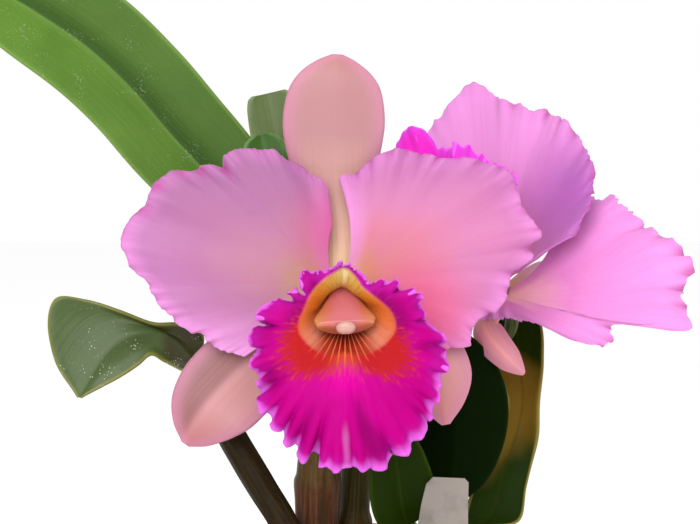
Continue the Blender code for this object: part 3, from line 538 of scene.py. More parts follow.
bloomShape = {
    "viewTilt": 5, "clawRadius": 4.3, "petalThickness": 0.8, "sepalThickness": 1.0, "lipThickness": 0.8,
    "petalRows": 64, "petalColumns": 270, "sepalAcross": 30, "sepalAlong": 90, "lipRows": 90,
    "lipColumns": 420, "petalCrowding": 0.85, "petalCup": 6, "ruffleGrowth": 5.0, "throatShare": 0.36,
    "throatRadius": 4.9, "throatStart": 1.2, "throatFlare": 2.3, "lipBulge": 3, "lipRuffleGrowth": 3.6,
    "fanAbove": 4.3, "petalBumps": (26, 61, 150), "petalUneven": 0.45, "rimPower": 8, "dipPower": 15,
    "smoothReach": 14, "ruffleRange": 22, "lipBumps": (40, 95, 38), "lipUneven": 0.5, "lipRimPower": 7,
    "lobeSteps": (-9, -6, -3, 0, 3, 6, 9), "overlap": 0.4, "overlapFrom": 172, "throatDepth": 14,
}
# Millimetres and degrees, seen from in front. Margins, mouths and blotches are (bearing, reach) pairs.
# A dip is (bearing, depth, width), a tint (colour, height where it starts, where it is full, share), a blush
# and shade spot (colour, place, reach): pigment blush on the front petals, and on the back left petal painted
# shade where the front petal shades it.
frontPetals = {
    "left": {
        "margin": ((96.8, 36), (99.6, 40), (104.3, 42.7), (108, 46.2), (111, 50.2), (114, 54),
            (118.4, 57.2), (122.6, 59), (125, 61.6), (128.2, 63.3), (131.2, 63.2), (133.8, 60.8),
            (135.6, 63.8), (138, 66.4), (141.5, 68.2), (143.4, 71.3), (145.7, 74), (149, 76), (152.8, 76.5),
            (155.4, 75.8), (159.4, 77.7), (163.3, 80), (166.2, 80.4), (169, 79), (172, 76), (174.4, 74.4),
            (177.5, 69.8), (181, 67.6), (187, 62.6), (192, 59), (194.5, 55.3), (197.7, 51.8), (201, 51),
            (205, 49), (209.5, 45), (215, 41.5)),
        "waves": 7, "height": 1.2, "phase": 0.4, "tipZ": -3, "claw": (0.62, 0.6), "seed": 4,
        "dips": ((108, 2, 3), (121, 1.5, 2.5), (133.6, 4.5, 1.6), (139.8, 3.6, 1.5), (144, 3.2, 1.3),
            (150.5, 3.4, 1.8), (158, 2.4, 1.8), (165, 1.2, 1.6), (173.5, 1.2, 1.2), (178.2, 1.6, 1.2),
            (182.7, 1.6, 1.2), (186, 1.4, 1.2), (190, 1.6, 1.4), (196, 1.8, 2), (203, 1.6, 2)),
        "ramp": ((0.0, "#9a8050"), (0.16, "#a07c5e"), (0.34, "#9e6a7c"), (0.62, "#965e84"),
            (1.0, "#9c6494")),
        "tints": (("#704064", 226, 262, 0.5), ("#d08cc2", 216, 194, 0.6)),
        "blushAndShade": ("#a42c64", (1, -44, 237), 31),
    },
    "right": {
        "margin": ((-33, 42), (-28, 44.5), (-25.4, 47.4), (-23.2, 50.8), (-20.7, 49.5), (-15.3, 49),
            (-11.4, 51), (-7.9, 55), (-2.4, 59.5), (1.4, 59.7), (6, 63), (8.2, 68), (10.2, 70.5),
            (12.2, 70.5), (14.6, 74.3), (19.2, 73.9), (25.5, 72), (32, 73.4), (37.6, 72), (40.6, 70),
            (44, 67.4), (49, 62), (52.8, 59.3), (57.3, 57.5), (64, 55.6), (67.6, 54.6), (70.3, 52.5),
            (74.3, 49.2), (78.6, 45.3), (82.4, 41.6), (85.5, 40.8), (88.5, 41), (90.7, 38.9)),
        "waves": 7, "height": 1.2, "phase": 2.2, "tipZ": -3, "claw": (0.66, 1.0), "seed": 9,
        "dips": ((-17, 2, 2), (-9, 2, 2), (0, 1.6, 2), (6, 3, 1.6), (12.5, 3, 1.5), (17, 2.4, 1.4),
            (23, 2, 1.8), (30, 1.6, 2), (37, 1.5, 1.5), (42.5, 2, 1.5), (48, 1.6, 1.5), (54, 2.2, 1.5),
            (59.5, 1.8, 1.5), (64.5, 2.4, 1.5), (70, 1.6, 1.6), (77, 2, 1.6), (82, 2.4, 1.4)),
        "ramp": ((0.0, "#ac8650"), (0.14, "#b3745c"), (0.34, "#b2667a"), (0.62, "#ad688e"),
            (1.0, "#aa6496")),
        "tints": (("#86487a", 238, 268, 0.45),), "blushAndShade": ("#c24a72", (24, -44, 208), 28),
    },
}
frontSepals = {
    "dorsal": {
        "midrib": ((0, 4.6, -3.2), (0, 18, -8), (-1.4, 36, -10), (-2.4, 56, -8), (-1.6, 74, -6),
            (-1, 84.5, -7)),
        "across": ((1, 0, 0), (1, 0, 0), (1, 0, 0), (1, 0, 0), (1, 0, 0), (1, 0, 0)),
        "halfWidth": ((0, 3.2), (0.15, 5.5), (0.35, 12), (0.6, 18.3), (0.75, 17.2), (0.88, 12), (0.96, 6.6),
            (1, 2.0)),
        "fold": -8,
        # its pale cream base is its own colour, made lighter still as painted light where the petals shade it
        "ramp": ((0.0, "#c8b080"), (0.22, "#cca48c"), (0.4, "#b48a80"), (0.6, "#986e70"), (0.85, "#976a6c"),
            (1.0, "#985c5c")),
    },
    "left": {
        "midrib": ((-3.4, -3.2, -3.2), (-15, -12, -8), (-32, -27, -10), (-46, -41.5, -8),
            (-55.6, -55.5, -7)),
        "across": ((-0.7, 0.7, 0), (-0.66, 0.75, 0), (-0.7, 0.7, 0.1), (-0.8, 0.6, 0.1), (-0.85, 0.52, 0.1)),
        "halfWidth": ((0, 3.2), (0.15, 7.4), (0.4, 15.6), (0.66, 17.2), (0.82, 14.0), (0.94, 7.8), (1, 1.6)),
        "fold": -14, "shade": "#603232",
        "ramp": ((0.0, "#937254"), (0.4, "#a87674"), (0.75, "#b08082"), (1.0, "#98575a")),
    },
    "right": {
        "midrib": ((3.4, -3.2, -3.2), (14, -10, -8), (26, -19.5, -9), (34.5, -32, -8.5), (38, -48.5, -8)),
        "across": ((-0.7, -0.7, 0), (-0.72, -0.69, 0), (-0.8, -0.6, -0.1), (-0.95, -0.2, -0.2),
            (-0.97, -0.05, -0.2)),
        "halfWidth": ((0, 3.2), (0.2, 7.5), (0.5, 13.5), (0.75, 13.5), (0.9, 8), (1, 1.6)), "fold": -16,
        "ramp": ((0.0, "#a28260"), (0.4, "#b37173"), (0.75, "#b77f7f"), (1.0, "#b26e6d")),
    },
}
frontLip = {
    "margin": ((-178, 23.6), (-168, 22), (-158, 21.6), (-151, 23), (-146, 25.7), (-142, 24.4), (-138, 23.5),
        (-132, 19.4), (-127.7, 21.4), (-123, 24), (-119.6, 22), (-116, 24.8), (-112, 27), (-105, 29.7),
        (-100, 31), (-96, 30.4), (-93, 28), (-89, 32.4), (-85, 33.8), (-81, 33.2), (-77, 32), (-73, 33.4),
        (-69, 34.6), (-65, 33.4), (-61, 34.6), (-57, 36.6), (-53, 36), (-49, 38.2), (-45.5, 40.4),
        (-42, 38.8), (-39, 40.8), (-36, 42.6), (-32.5, 40.4), (-29.5, 43.4), (-26.5, 45), (-23.5, 43.2),
        (-20.5, 45.8), (-17.5, 47), (-14, 43), (-11, 46.8), (-7.5, 46.4), (-4, 48.2), (-0.5, 46.6),
        (3, 46.4), (7, 48.6), (10.5, 47.4), (14, 49), (17.5, 48.4), (21, 44.4), (24, 47), (27.5, 47.6),
        (31, 44.6), (34.5, 46), (38, 45.2), (42, 42.4), (45.5, 43), (49, 40.4), (53, 40.6), (57, 38.4),
        (61, 38.2), (65, 36.4), (70, 37.6), (75, 36.4), (80, 34.6), (84, 35.6), (89, 33.6), (93, 29.4),
        (97, 27.2), (101, 28.6), (107, 27.4), (111, 28.4), (115.5, 28.9), (119, 28), (123, 27.2), (127, 23),
        (131, 24.6), (135, 24.8), (139, 22.4), (143, 21.8), (148, 19), (153, 18.4), (161, 19.8),
        (170, 21.4), (177, 23), (184, 23.4)),
    "mouth": ((-178, 21.4), (-168, 19.8), (-145, 17.4), (-117, 15.4), (-100, 15.7), (-86, 15.2),
        (-74, 13.7), (-60, 12.2), (-40, 10.6), (0, 7.5), (40, 10.6), (60, 12.6), (76, 14.8), (91, 16.8),
        (108, 16.8), (135, 15), (157, 15.6), (168, 18.4), (178, 21), (184, 21.2)),
    "blotch": ((-178, 10), (-120, 14), (-100, 16), (-90, 20), (-69, 23.5), (-48, 22.5), (-29, 16.8),
        (-10, 13), (0, 12.4), (12, 13), (28, 15.2), (41, 21.5), (64, 25.5), (81, 21), (92, 18), (105, 14),
        (184, 10)),
    "offset": (1.8, -13.5), "columnTip": (1.9, -12.6), "capLift": 2.2, "mouthZ": 25, "bottomZ": 31,
    "sideZ": 21, "topZ": 28, "waves": 11, "height": 1.8, "lobeLift": 1.5, "seed": 21, "tones": {},
}
backPetals = {
    "left": {
        "margin": ((56, 21), (62, 26), (66, 31), (69, 38), (76, 46.5), (83, 50.7), (88, 54), (93, 58.7),
            (100, 62), (108, 67.3), (113, 70.2), (118.3, 72.7), (122, 74), (126, 78), (129, 76.3),
            (133.3, 79.2), (138.4, 82), (142, 87), (146, 94.5), (150, 96.3), (152, 92), (155, 88),
            (160, 84), (163, 81), (167, 70), (172, 60)),
        "waves": 6, "height": 1.4, "phase": 1.0, "tipZ": 14, "claw": (0.45, 0.5), "seed": 5, "teeth": 0.4,
        "dips": ((70, 2, 2.5), (79, 2.5, 2), (86, 2.5, 2), (92, 2.5, 1.6), (98, 2.5, 1.6), (104, 2.5, 1.6),
            (111, 2.5, 1.8), (118, 2, 1.6), (125, 3, 1.6), (136, 2, 2)),
        "ramp": ((0.0, "#c69d75"), (0.2, "#c47b9d"), (0.5, "#be76b0"), (1.0, "#c67fbb")),
        # painted shade: darker purple round the part of this petal that the front petal shades
        "blushAndShade": ("#8c4494", (82, 10, 252), 42),
    },
    "right": {
        "margin": ((-75, 12), (-50, 12), (-25, 13), (-8, 15), (2, 21), (8, 31), (11, 43), (13.5, 50.5),
            (18, 54.8), (22, 53.6), (25, 51.8), (26.6, 58), (27.4, 68), (28, 80), (29.4, 83.5),
            (31.5, 82.6), (35, 79), (39, 76.5), (44.8, 76), (48.7, 78), (53, 76.2), (58.4, 71.2),
            (62.5, 67.2), (67.7, 62.8), (76.5, 59.6), (85, 57.8), (90, 55.8), (95, 52.6), (100, 48.6),
            (103, 44.5)),
        "waves": 7, "height": 1.4, "phase": 0.0, "tipZ": 0, "claw": (0.45, 0.85), "seed": 13, "teeth": 1.1,
        "dips": ((16, 2, 1.2), (20, 2, 1.2), (24, 2.4, 1.2), (36, 2.6, 1.6), (42, 3, 1.6), (48, 3, 1.8),
            (54, 2.4, 1.8), (61, 2, 2), (69, 2, 2)),
        "ramp": ((0.0, "#dcbc96"), (0.14, "#e4a8ba"), (0.4, "#cf7dba"), (1.0, "#cd83c2")),
    },
}
backSepals = {
    "dorsal": {
        "midrib": ((0, 4.6, -3.2), (-1, 14, -9), (-3, 24, -20), (-6, 32, -36), (-8, 36, -52)),
        "across": ((1, 0, 0), (1, 0, 0), (1, 0, 0), (1, 0.2, 0), (1, 0.2, 0)),
        "halfWidth": ((0, 3.2), (0.2, 6), (0.5, 11), (0.75, 12.5), (0.92, 7), (1, 1.6)), "fold": -8,
        "ramp": ((0.0, "#c9a478"), (0.4, "#d99cae"), (1.0, "#dd9aa8")),
    },
    "left": {
        "midrib": ((-3.4, -3.2, -3.2), (-12, -11, -10), (-24, -22, -14), (-35, -33, -14), (-43, -41, -12)),
        "across": ((-0.7, 0.7, 0), (-0.7, 0.7, 0), (-0.7, 0.7, 0.1), (-0.75, 0.66, 0.1), (-0.8, 0.6, 0.1)),
        "halfWidth": ((0, 3.2), (0.2, 6), (0.5, 12), (0.75, 12.5), (0.92, 7), (1, 1.6)), "fold": -10,
        "ramp": ((0.0, "#c9a478"), (0.4, "#d99cae"), (1.0, "#dd9aa8")),
    },
    "right": {
        "midrib": ((3.4, -3.2, -3.2), (7.1, -11.5, -1), (15.1, -13.8, -1.4), (24.5, -13.9, -4.4),
            (32.8, -13.4, -7.5)),
        "across": ((-0.7, -0.7, 0), (-0.6, -0.8, 0), (-0.3, -0.9, 0), (-0.1, -1, 0), (-0.1, -1, 0)),
        "halfWidth": ((0, 3.2), (0.2, 5), (0.45, 6.4), (0.75, 5.2), (0.92, 2.6), (1, 0.8)), "fold": -16,
        "ramp": ((0.0, "#e2b494"), (0.4, "#eaa0a4"), (1.0, "#e8a4a0")),
    },
}
backLip = {
    "margin": ((-178, 36), (-168, 35), (-158, 35), (-151, 38), (-146, 37.6), (-141, 41), (-137, 40.6),
        (-132, 43.4), (-127, 42.6), (-123, 44.4), (-120, 44.6), (-118, 50), (-116, 54.6), (-113, 57.6),
        (-109, 58.4), (-105, 56.2), (-100, 52.6), (-95, 50), (-88, 44.6), (-80, 41), (-72, 36.4), (-64, 37),
        (-55, 33.6), (-45, 36), (-34, 33.4), (-24, 36.6), (-12, 35), (0, 38.4), (12, 36.6), (24, 40.4),
        (34, 36.8), (44, 37.4), (54, 31.6), (65, 29.6), (76, 25), (90, 26), (105, 23.4), (120, 26),
        (135, 26.4), (150, 30), (162, 32.6), (170, 34.8), (178, 36)),
    "mouth": ((-178, 21), (-168, 20), (-120, 16), (-85, 17), (-50, 12), (0, 7.5), (50, 12), (85, 16),
        (120, 15), (168, 20), (178, 21)),
    "offset": (-8, -3), "columnTip": (-8, -3), "capLift": 0, "mouthZ": 30, "bottomZ": 37, "sideZ": 35,
    "topZ": 38, "waves": 11, "height": 1.8, "lobeLift": 0.4, "seed": 33,
    # fold is painted shade, and frill a pale rim with painted highlights on its crests
    "tones": {
        "body": "#c81ca6", "hot": "#e636c2", "fold": "#a40084", "violet": "#c43cbe", "frill": "#dd5cd8",
    },
}
blooms = {
    "front": {"petals": frontPetals, "sepals": frontSepals, "lip": frontLip,
        "centre": (-3.5, -40, 217), "roll": 0, "turn": 0,
        "stalk": ((-3.9, -26, 215.4), (-5, -15, 212), (-8, -6, 205.5), (-10.8, -2, 197), (-11.2, -0.6, 189),
            (-11.1, -0.3, 182.5)),
    },
    "back": {"petals": backPetals, "sepals": backSepals, "lip": backLip,
        "centre": (56.8, 20, 210), "roll": -49, "turn": -44,
        "stalk": ((63.3, 29.5, 201.6), (62, 34, 192), (51, 31, 187), (34, 22, 190), (20, 15, 198),
            (9, 9, 206), (-1, 2, 210.5), (-5.4, -1.3, 204), (-6.2, -0.8, 194), (-6.4, -0.3, 182.5)),
    },
}


def bloomMatrix(bloom):
    turn = Matrix.Rotation(math.radians(90 - bloomShape["viewTilt"]), 4, "X")
    turn = turn @ Matrix.Rotation(math.radians(bloom["roll"]), 4, "Z")
    return Matrix.Translation(bloom["centre"]) @ turn @ Matrix.Rotation(math.radians(bloom["turn"]), 4, "Y")


# Petal: thin living tissue, grown, of cells like tiny domes. They give it a soft velvet glow.
petalFinish = {
    "Roughness": 0.48, "IOR": 1.4, "Specular IOR Level": 0.3, "Sheen Weight": 0.1, "Sheen Roughness": 0.4,
    "Sheen Tint": "#ffd0f4", "Subsurface Weight": 0.2, "Subsurface Radius": (1.0, 0.45, 0.7),
    "Subsurface Scale": 0.003,
}
petalRim = "#c078b4"
# the veins' colour, laid also as painted shade in the folds that run in from the margin
veinAndFoldShade = "#a04884"


# A petal's marks: rise from claw to margin, sweep in degrees, edge and valley in millimetres.
def petalSkin(name, petal):
    look, add, (rise, sweep, edge, valley, place, drift, cells) = newLook(
        name, petalFinish, ("rise", "sweep", "edge", "valley"), ((45.0, 3.0), (1400.0, 1.0)))
    colour = wanderingRamp(add, rise, drift, 0.07, petal["ramp"])
    layers = [(petalRim, edge, 9.0, 0.5, 0.7)]
    # a petal is darker or lighter above or below a height, given in millimetres
    height = add("ShaderNodeSeparateXYZ", inputs={0: place}, out=2)
    for tint, start, end, share in petal.get("tints", ()):
        layers.append((tint, height, start * mm, end * mm, share))
    # a spot of colour round a place: a pigment blush, and on the back left petal painted shade
    if "blushAndShade" in petal:
        blushAndShade, centre, reach = petal["blushAndShade"]
        centre = tuple(c * mm for c in centre)
        far = add("ShaderNodeVectorMath", {"operation": "DISTANCE"}, {0: place, 1: centre}, out=1)
        layers.append((blushAndShade, far, reach * mm, 0.003, 0.85))
    # painted shade: the folds that run in from the margin are darkened by their depth
    layers.append((veinAndFoldShade, valley, 0.3, 2.4, 0.8))
    veins = fineVeins(add, sweep, rise, 2.2, 0.7, 3.0)
    colour = layTones(add, colour, layers)
    colour = layTones(add, colour, [(veinAndFoldShade, veins, 0.42, 0.66, 0.1)], linear)
    relief = add("ShaderNodeMath", timesPlus, {0: cells, 1: 0.15, 2: veins})
    return endLook(look, add, colour, relief, 0.22, 0.0002)


# Sepal: firmer and smoother than a petal, with long faint veins and lilac sides.
sepalFinish = {
    "Roughness": 0.42, "IOR": 1.4, "Specular IOR Level": 0.35, "Sheen Weight": 0.08, "Sheen Tint": "#ffe0e8",
    "Subsurface Weight": 0.18, "Subsurface Radius": (1.0, 0.5, 0.5), "Subsurface Scale": 0.003,
}


def sepalSkin(name, sepal):
    look, add, (rise, across, edge, place, cells) = newLook(
        name, sepalFinish, ("rise", "across", "edge"), [(1200.0, 1.0)])
    colour = add("ShaderNodeValToRGB", inputs={0: rise}, stops=sepal["ramp"])
    if "shade" in sepal:
        colour = layTones(add, colour, [(sepal["shade"], across, 0.4, 4.5, 0.7)])
    pastClaw = add("ShaderNodeMapRange", inputs={"Value": rise, 1: 0.12, 2: 0.45})
    colour = layTones(add, colour, [("#a86e86", edge, 8.0, 0.3, 0.75, pastClaw)])
    veins = fineVeins(add, across, rise, 1.5, 0.8, 2.0)
    colour = layTones(add, colour, [("#a86470", veins, 0.48, 0.68, 0.22)], linear)
    relief = add("ShaderNodeMath", timesPlus, {0: cells, 1: 0.15, 2: veins})
    return endLook(look, add, colour, relief, 0.4, 0.0002)


# Lip: the same tissue at its most velvety, dyed deep magenta, with a red blotch and gold lines at its mouth.
lipFinish = {
    "Roughness": 0.46, "IOR": 1.4, "Specular IOR Level": 0.03, "Subsurface Weight": 0.1,
    "Subsurface Radius": (1.0, 0.2, 0.6), "Subsurface Scale": 0.003,
}
# fold is painted shade, glow a painted highlight, and frill a pale rim with painted highlights on its crests
lipTones = {
    "body": "#8c005c", "hot": "#a60074", "fold": "#50003a", "violet": "#96107e", "frill": "#bb58ba",
    "glow": "#b0007c", "blotch": "#8f0f1c", "blotchRim": "#9c1c18", "ember": "#a8401c", "fringe": "#ae2c50",
    "maroon": "#5a060a", "deepThroatLight": "#d07c38", "throatVein": "#94481a", "gold": "#b4643c", "streak": "#a868a4",
}
goldSpacing = 9.4
throatRamp = ((0.0, "#7d0d0d"), (0.26, "#902a20"), (0.38, "#b06a58"), (0.55, "#b85c30"), (0.7, "#b85a1a"),
              (0.82, "#b87424"), (0.91, "#b88e40"), (0.97, "#bca05a"), (1.0, "#cdb888"))


# The lip's marks: bearing 0 at the midline to 1 at the top, pastMouth, blotch and edge in millimetres.
def lipSkin(name, tones):
    tone = {**lipTones, **tones}
    look, add, (bearing, pastMouth, blotch, edge, fold, crest, fan, fanReach, place, drift, cells) = newLook(
        name, lipFinish, ("bearing", "pastMouth", "blotch", "edge", "fold", "frill", "fan", "fanReach"),
        ((60.0, 3.0), (1300.0, 1.0)))
    rays = fineVeins(add, bearing, pastMouth, 0.004, 62.0, 3.0)
    side = add("ShaderNodeMath", {"operation": "PINGPONG"}, {0: bearing, 1: 1.0})
    offBlotch = add("ShaderNodeMath", absolute, {0: blotch})
    offMiddle = add("ShaderNodeMath", absolute, {0: fan})
    violetEdge = add("ShaderNodeMath", timesPlus, {0: drift, 1: -9.0, 2: edge})
    streakSide = add("ShaderNodeMath", timesPlus, {0: drift, 1: 0.02, 2: side})
    lineEnd = add("ShaderNodeMath", timesPlus, {0: rays, 1: 6.0, 2: fanReach})
    # masks: what each follows, where it starts and ends, and its value there
    bottom, glowSide, streakReach, broken, low, near, lineReach = [
        add("ShaderNodeMapRange", smoothStep, {"Value": value, 1: start, 2: end, 3: first, 4: last})
        for value, start, end, first, last in (
            (side, 0.7, 0.1, 1.0, 4.6), (side, 0.2, 0.02, 0.0, 1.0), (edge, 17.0, 10.0, 0.0, 0.4),
            (rays, 0.54, 0.7, 0.0, 1.0), (offMiddle, 66.0, 50.0, 0.0, 1.0), (fanReach, 13.0, 5.0, 0.0, 1.0),
            (lineEnd, 21.5, 13.0, 0.0, 1.0))]
    paleRimAndHighlightReach = add("ShaderNodeMath", timesPlus, {0: crest, 1: 5.0, 2: bottom})
    frillReach = add("ShaderNodeMapRange", inputs={"Value": edge, 1: 10.0, 2: 4.0})
    # the blotch, its edge broken up by veins that run outwards, with an ember at its middle
    ragged = add("ShaderNodeMapRange", inputs={"Value": rays, 1: 0.25, 2: 0.75, 3: -4.2, 4: 4.2})
    inBlotch = add("ShaderNodeMath", plus, {0: blotch, 1: ragged})
    glowBlotch = add("ShaderNodeMath", times, {0: glowSide, 1: 0.6})
    red = add("ShaderNodeMix", asColour, {0: drift, 6: tone["blotch"], 7: tone["blotchRim"]}, out=2)
    red = add("ShaderNodeMix", asColour, {0: glowBlotch, 6: red, 7: tone["ember"]}, out=2)
    # the throat: brownish veins run down into it; deep beside the column its wall is lighter orange,
    # painted light against the column's shadow
    throat = add("ShaderNodeValToRGB", inputs={0: side}, stops=throatRamp)
    throat = layTones(add, throat, [
        (tone["throatVein"], rays, 0.46, 0.7, 0.4),
        (tone["deepThroatLight"], pastMouth, -2.0, -6.0, 0.6)])
    turns = add("ShaderNodeMath", times, {0: fan, 1: fullTurn / goldSpacing})
    lines = add("ShaderNodeMath", {"operation": "COSINE"}, {0: turns})
    colour = add("ShaderNodeMix", asColour, {0: drift, 6: tone["body"], 7: tone["hot"]}, out=2)
    # painted shade darkens the folds, and it is darker by the throat; violet at the margin; a pale rim and
    # painted highlights on the frills' crests; a painted highlight under the blotch where the skirt bulges;
    # a pale streak down the middle, the blotch and its fringe, the throat, gold lines on dark ground
    colour = layTones(add, colour, [
        (tone["fold"], fold, 0.0, -0.9, 0.5),
        (tone["fold"], pastMouth, 8.0, 1.0, 0.6),
        (tone["violet"], violetEdge, 3.0, -3.5, 0.8),
        (tone["frill"], edge, paleRimAndHighlightReach, 0.0, 0.95, frillReach),
        (tone["glow"], fanReach, 30.0, 20.0, 1.0, glowSide),
        (tone["streak"], streakSide, 0.021, 0.008, 1.0, streakReach),
        (red, inBlotch, -4.6, 3.6, 1.0),
        (tone["fringe"], offBlotch, 6.0, 1.0, 0.55, broken),
        (throat, pastMouth, 1.2, -0.6, 1.0),
        (tone["maroon"], offMiddle, 66.0, 50.0, 1.0, near),
        (tone["gold"], lines, 0.6, 0.95, 1.0, lineReach, low)])
    relief = add("ShaderNodeMath", timesPlus, {0: cells, 1: 0.15, 2: rays})
    return endLook(look, add, colour, relief, 0.5, 0.0003)


# Ruffles a blade's free margin along its normals: broad frills, and fine ones close to the edge.
def frillTree():
    tree, add, given = startTree("marginFrill", {
        "Frill Height": "Float", "Frills": "Float", "Fine Height": "Float", "Fine Frills": "Float",
        "Rim Power": "Float", "Seed": "Float", "Material": "Material"})
    rise, share = [add("GeometryNodeInputNamedAttribute", asFloat, {"Name": mark})
                   for mark in ("ruffle", "marginShare")]
    heights, swings = [], []
    for height, count, power in (("Frill Height", "Frills", 1.0), ("Fine Height", "Fine Frills", 2.2)):
        turns = add("ShaderNodeMath", times, {0: share, 1: given[count]})
        place = add("ShaderNodeCombineXYZ", inputs={0: turns, 1: rise, 2: given["Seed"]})
        noise = add("ShaderNodeTexNoise", inputs={"Vector": place, "Scale": 1.0, "Detail": 1.0})
        swing = add("ShaderNodeMapRange", inputs={"Value": noise, 1: 0.25, 2: 0.75, 3: -1.0, 4: 1.0})
        grow = add("ShaderNodeMath", times, {0: given["Rim Power"], 1: power})
        reach = add("ShaderNodeMath", {"operation": "POWER"}, {0: rise, 1: grow})
        swings.append(add("ShaderNodeMath", times, {0: swing, 1: reach}))
        heights.append(add("ShaderNodeMath", times, {0: swings[-1], 1: given[height]}))
    total = add("ShaderNodeMath", plus, {0: heights[0], 1: heights[1]})
    normal = add("GeometryNodeInputNormal")
    offset = add("ShaderNodeVectorMath", scaled, {0: normal, "Scale": total})
    moved = add("GeometryNodeSetPosition", inputs={"Geometry": given["Geometry"], "Offset": offset})
    marked = add("GeometryNodeStoreNamedAttribute", onPoints, {
        "Geometry": moved, "Name": "frill", "Value": swings[0]})
    return endTree(tree, marked, given["Material"])


marginFrill = frillTree()
petalFrill = {
    "Frill Height": 1.8 * mm, "Frills": 26.0, "Fine Height": 0.5 * mm, "Fine Frills": 80.0,
    "Rim Power": 13.0,
}
lipFrill = {
    "Frill Height": 2.2 * mm, "Frills": 52.0, "Fine Height": 0.9 * mm, "Fine Frills": 130.0,
    "Rim Power": 3.4,
}


def makePetal(name, petal, matrix):
    shape = bloomShape
    t = np.linspace(0, 1, shape["petalColumns"] + 1)[None, :]
    s = np.linspace(0, 1, shape["petalRows"] + 1)[:, None] ** shape["petalCrowding"]
    first, last = petal["margin"][0][0], petal["margin"][-1][0]
    middle = (first + last) / 2
    bearing = first + (last - first) * t
    reach = smoothAt(petal["margin"], bearing)
    wave = np.sin(fullTurn * petal["waves"] * t + petal["phase"])
    # its outline is a little uneven, with fine teeth
    seed = petal["seed"]
    bumps, fineBumps, teethCount = shape["petalBumps"]
    uneven = ripples(t, bumps, seed) + 0.6 * ripples(t, fineBumps, seed + 1)
    teeth = petal.get("teeth", 0.2) * ripples(t, teethCount, seed + 2)
    reach = reach + (uneven * shape["petalUneven"] + teeth) * s ** shape["rimPower"]
    # it narrows to a claw at its foot, waves at its margin and dips in folds that run in from it
    narrow, end = petal["claw"]
    claw = narrow + (1 - narrow) * np.minimum(s / end, 1)
    angle = np.radians(middle + (bearing - middle) * claw)
    radius = shape["clawRadius"] + (reach - shape["clawRadius"]) * s
    calm = np.minimum(0.35 + np.minimum(t, 1 - t) * 6, 1)
    z = shape["petalCup"] * s * (1 - s) + petal["tipZ"] * s
    z = z + petal["height"] * calm * wave * s ** shape["ruffleGrowth"]
    valley = np.zeros_like(z)
    for place, depth, width in petal["dips"]:
        valley = valley + depth * np.exp(-((bearing - place) / width) ** 2) * s ** shape["dipPower"]
    marks = {
        "rise": s,
        "ruffle": s * np.clip((reach - shape["smoothReach"]) / shape["ruffleRange"], 0, 1),
        "marginShare": t,
        "sweep": bearing,
        "valley": valley,
        "edge": np.minimum((1 - s) * reach, np.minimum(t, 1 - t) * math.radians(last - first) * radius),
    }
    look = petalSkin(name + "_skin", petal)
    points = toPlant(matrix, radius * np.cos(angle), radius * np.sin(angle), z - valley)
    piece = gridPiece(name + "_blade", points, marks, look)
    growWith(piece, marginFrill, {**petalFrill, "Seed": float(seed), "Material": look})
    return thicken(piece, shape["petalThickness"], marks["edge"])


def makeLip(name, lip, matrix):
    shape = bloomShape
    t = np.linspace(0, 1, shape["lipColumns"] + 1)[None, :]
    s = np.linspace(0, 1, shape["lipRows"] + 1)[:, None]
    first, last = lip["margin"][0][0], lip["margin"][-1][0]
    bearing = first + (last - first) * t
    turn = np.radians(bearing)
    angle = np.radians(bearing - 90)
    mouth = smoothAt(lip["mouth"], bearing)
    low = (1 + np.cos(turn)) / 2
    share = shape["throatShare"]
    inner = np.clip(s / share, 0, 1)
    outer = np.clip((s - share) / (1 - share), 0, 1)
    seed = lip["seed"]
    reach = smoothAt(lip["margin"], bearing)
    wave = np.sin(fullTurn * lip["waves"] * t)
    bumps, fineBumps, creaseCount = shape["lipBumps"]
    uneven = ripples(t, bumps, seed) + 0.7 * ripples(t, fineBumps, seed + 1)
    full = reach + uneven * shape["lipUneven"] * outer ** shape["lipRimPower"]
    throat = shape["throatRadius"] + (mouth - shape["throatRadius"]) * inner ** shape["throatFlare"]
    radius = np.where(s < share, throat, mouth + (full - mouth) * outer)
    side = np.abs(np.sin(turn))
    rim = lip["sideZ"] * side + (1 - side) * (lip["bottomZ"] * low + lip["topZ"] * (1 - low))
    z = shape["throatStart"] + (lip["mouthZ"] - shape["throatStart"]) * inner
    z = z + (rim - lip["mouthZ"]) * outer + shape["lipBulge"] * np.sin(math.pi * outer) * low
    z = z + lip["height"] * wave * outer ** shape["lipRuffleGrowth"] * (0.35 + 0.65 * low)
    # each lobe of the margin curls towards the viewer, and the last flap lies over the first at the top
    steps = shape["lobeSteps"]
    smooth = sum(smoothAt(lip["margin"], np.clip(bearing + step, first, last)) for step in steps)
    smooth = smooth / len(steps)
    z = z + lip["lobeLift"] * (reach - smooth) * outer ** 5
    z = z + shape["overlap"] * np.clip((bearing - shape["overlapFrom"]) / 6, 0, 1)
    aside, rise = lip["offset"]
    x = aside * inner + radius * np.cos(angle)
    y = rise * inner + radius * np.sin(angle)
    blotchReach = smoothAt(lip["blotch"], bearing) if "blotch" in lip else 15.5 + 6.5 * np.sin(turn) ** 2
    across, down = x - aside, rise + shape["fanAbove"] - y
    # the folds' mark follows the skirt's waves and finer ripples; the skin lays painted shade along it
    creases = wave * 0.55 + ripples(t + 0.012 * np.sin(5 * outer), creaseCount, seed + 2) * 0.7
    marks = {
        "bearing": bearing / 180,
        "ruffle": outer,
        "marginShare": t,
        "pastMouth": np.where(s < share, (inner - 1) * shape["throatDepth"], (full - mouth) * outer),
        "edge": (1 - outer) * (full - mouth) + np.where(s < share, 5, 0),
        "blotch": blotchReach - radius,
        "fan": np.degrees(np.arctan2(across, down)),
        "fanReach": np.hypot(across, down),
        "fold": creases * np.clip((outer - 0.25) / 0.5, 0, 1),
    }
    look = lipSkin(name + "_velvet", lip["tones"])
    piece = gridPiece(name + "_skirt", toPlant(matrix, x, y, z), marks, look)
    growWith(piece, marginFrill, {**lipFrill, "Seed": float(seed), "Material": look})
    return thicken(piece, shape["lipThickness"], marks["edge"], depth=6)


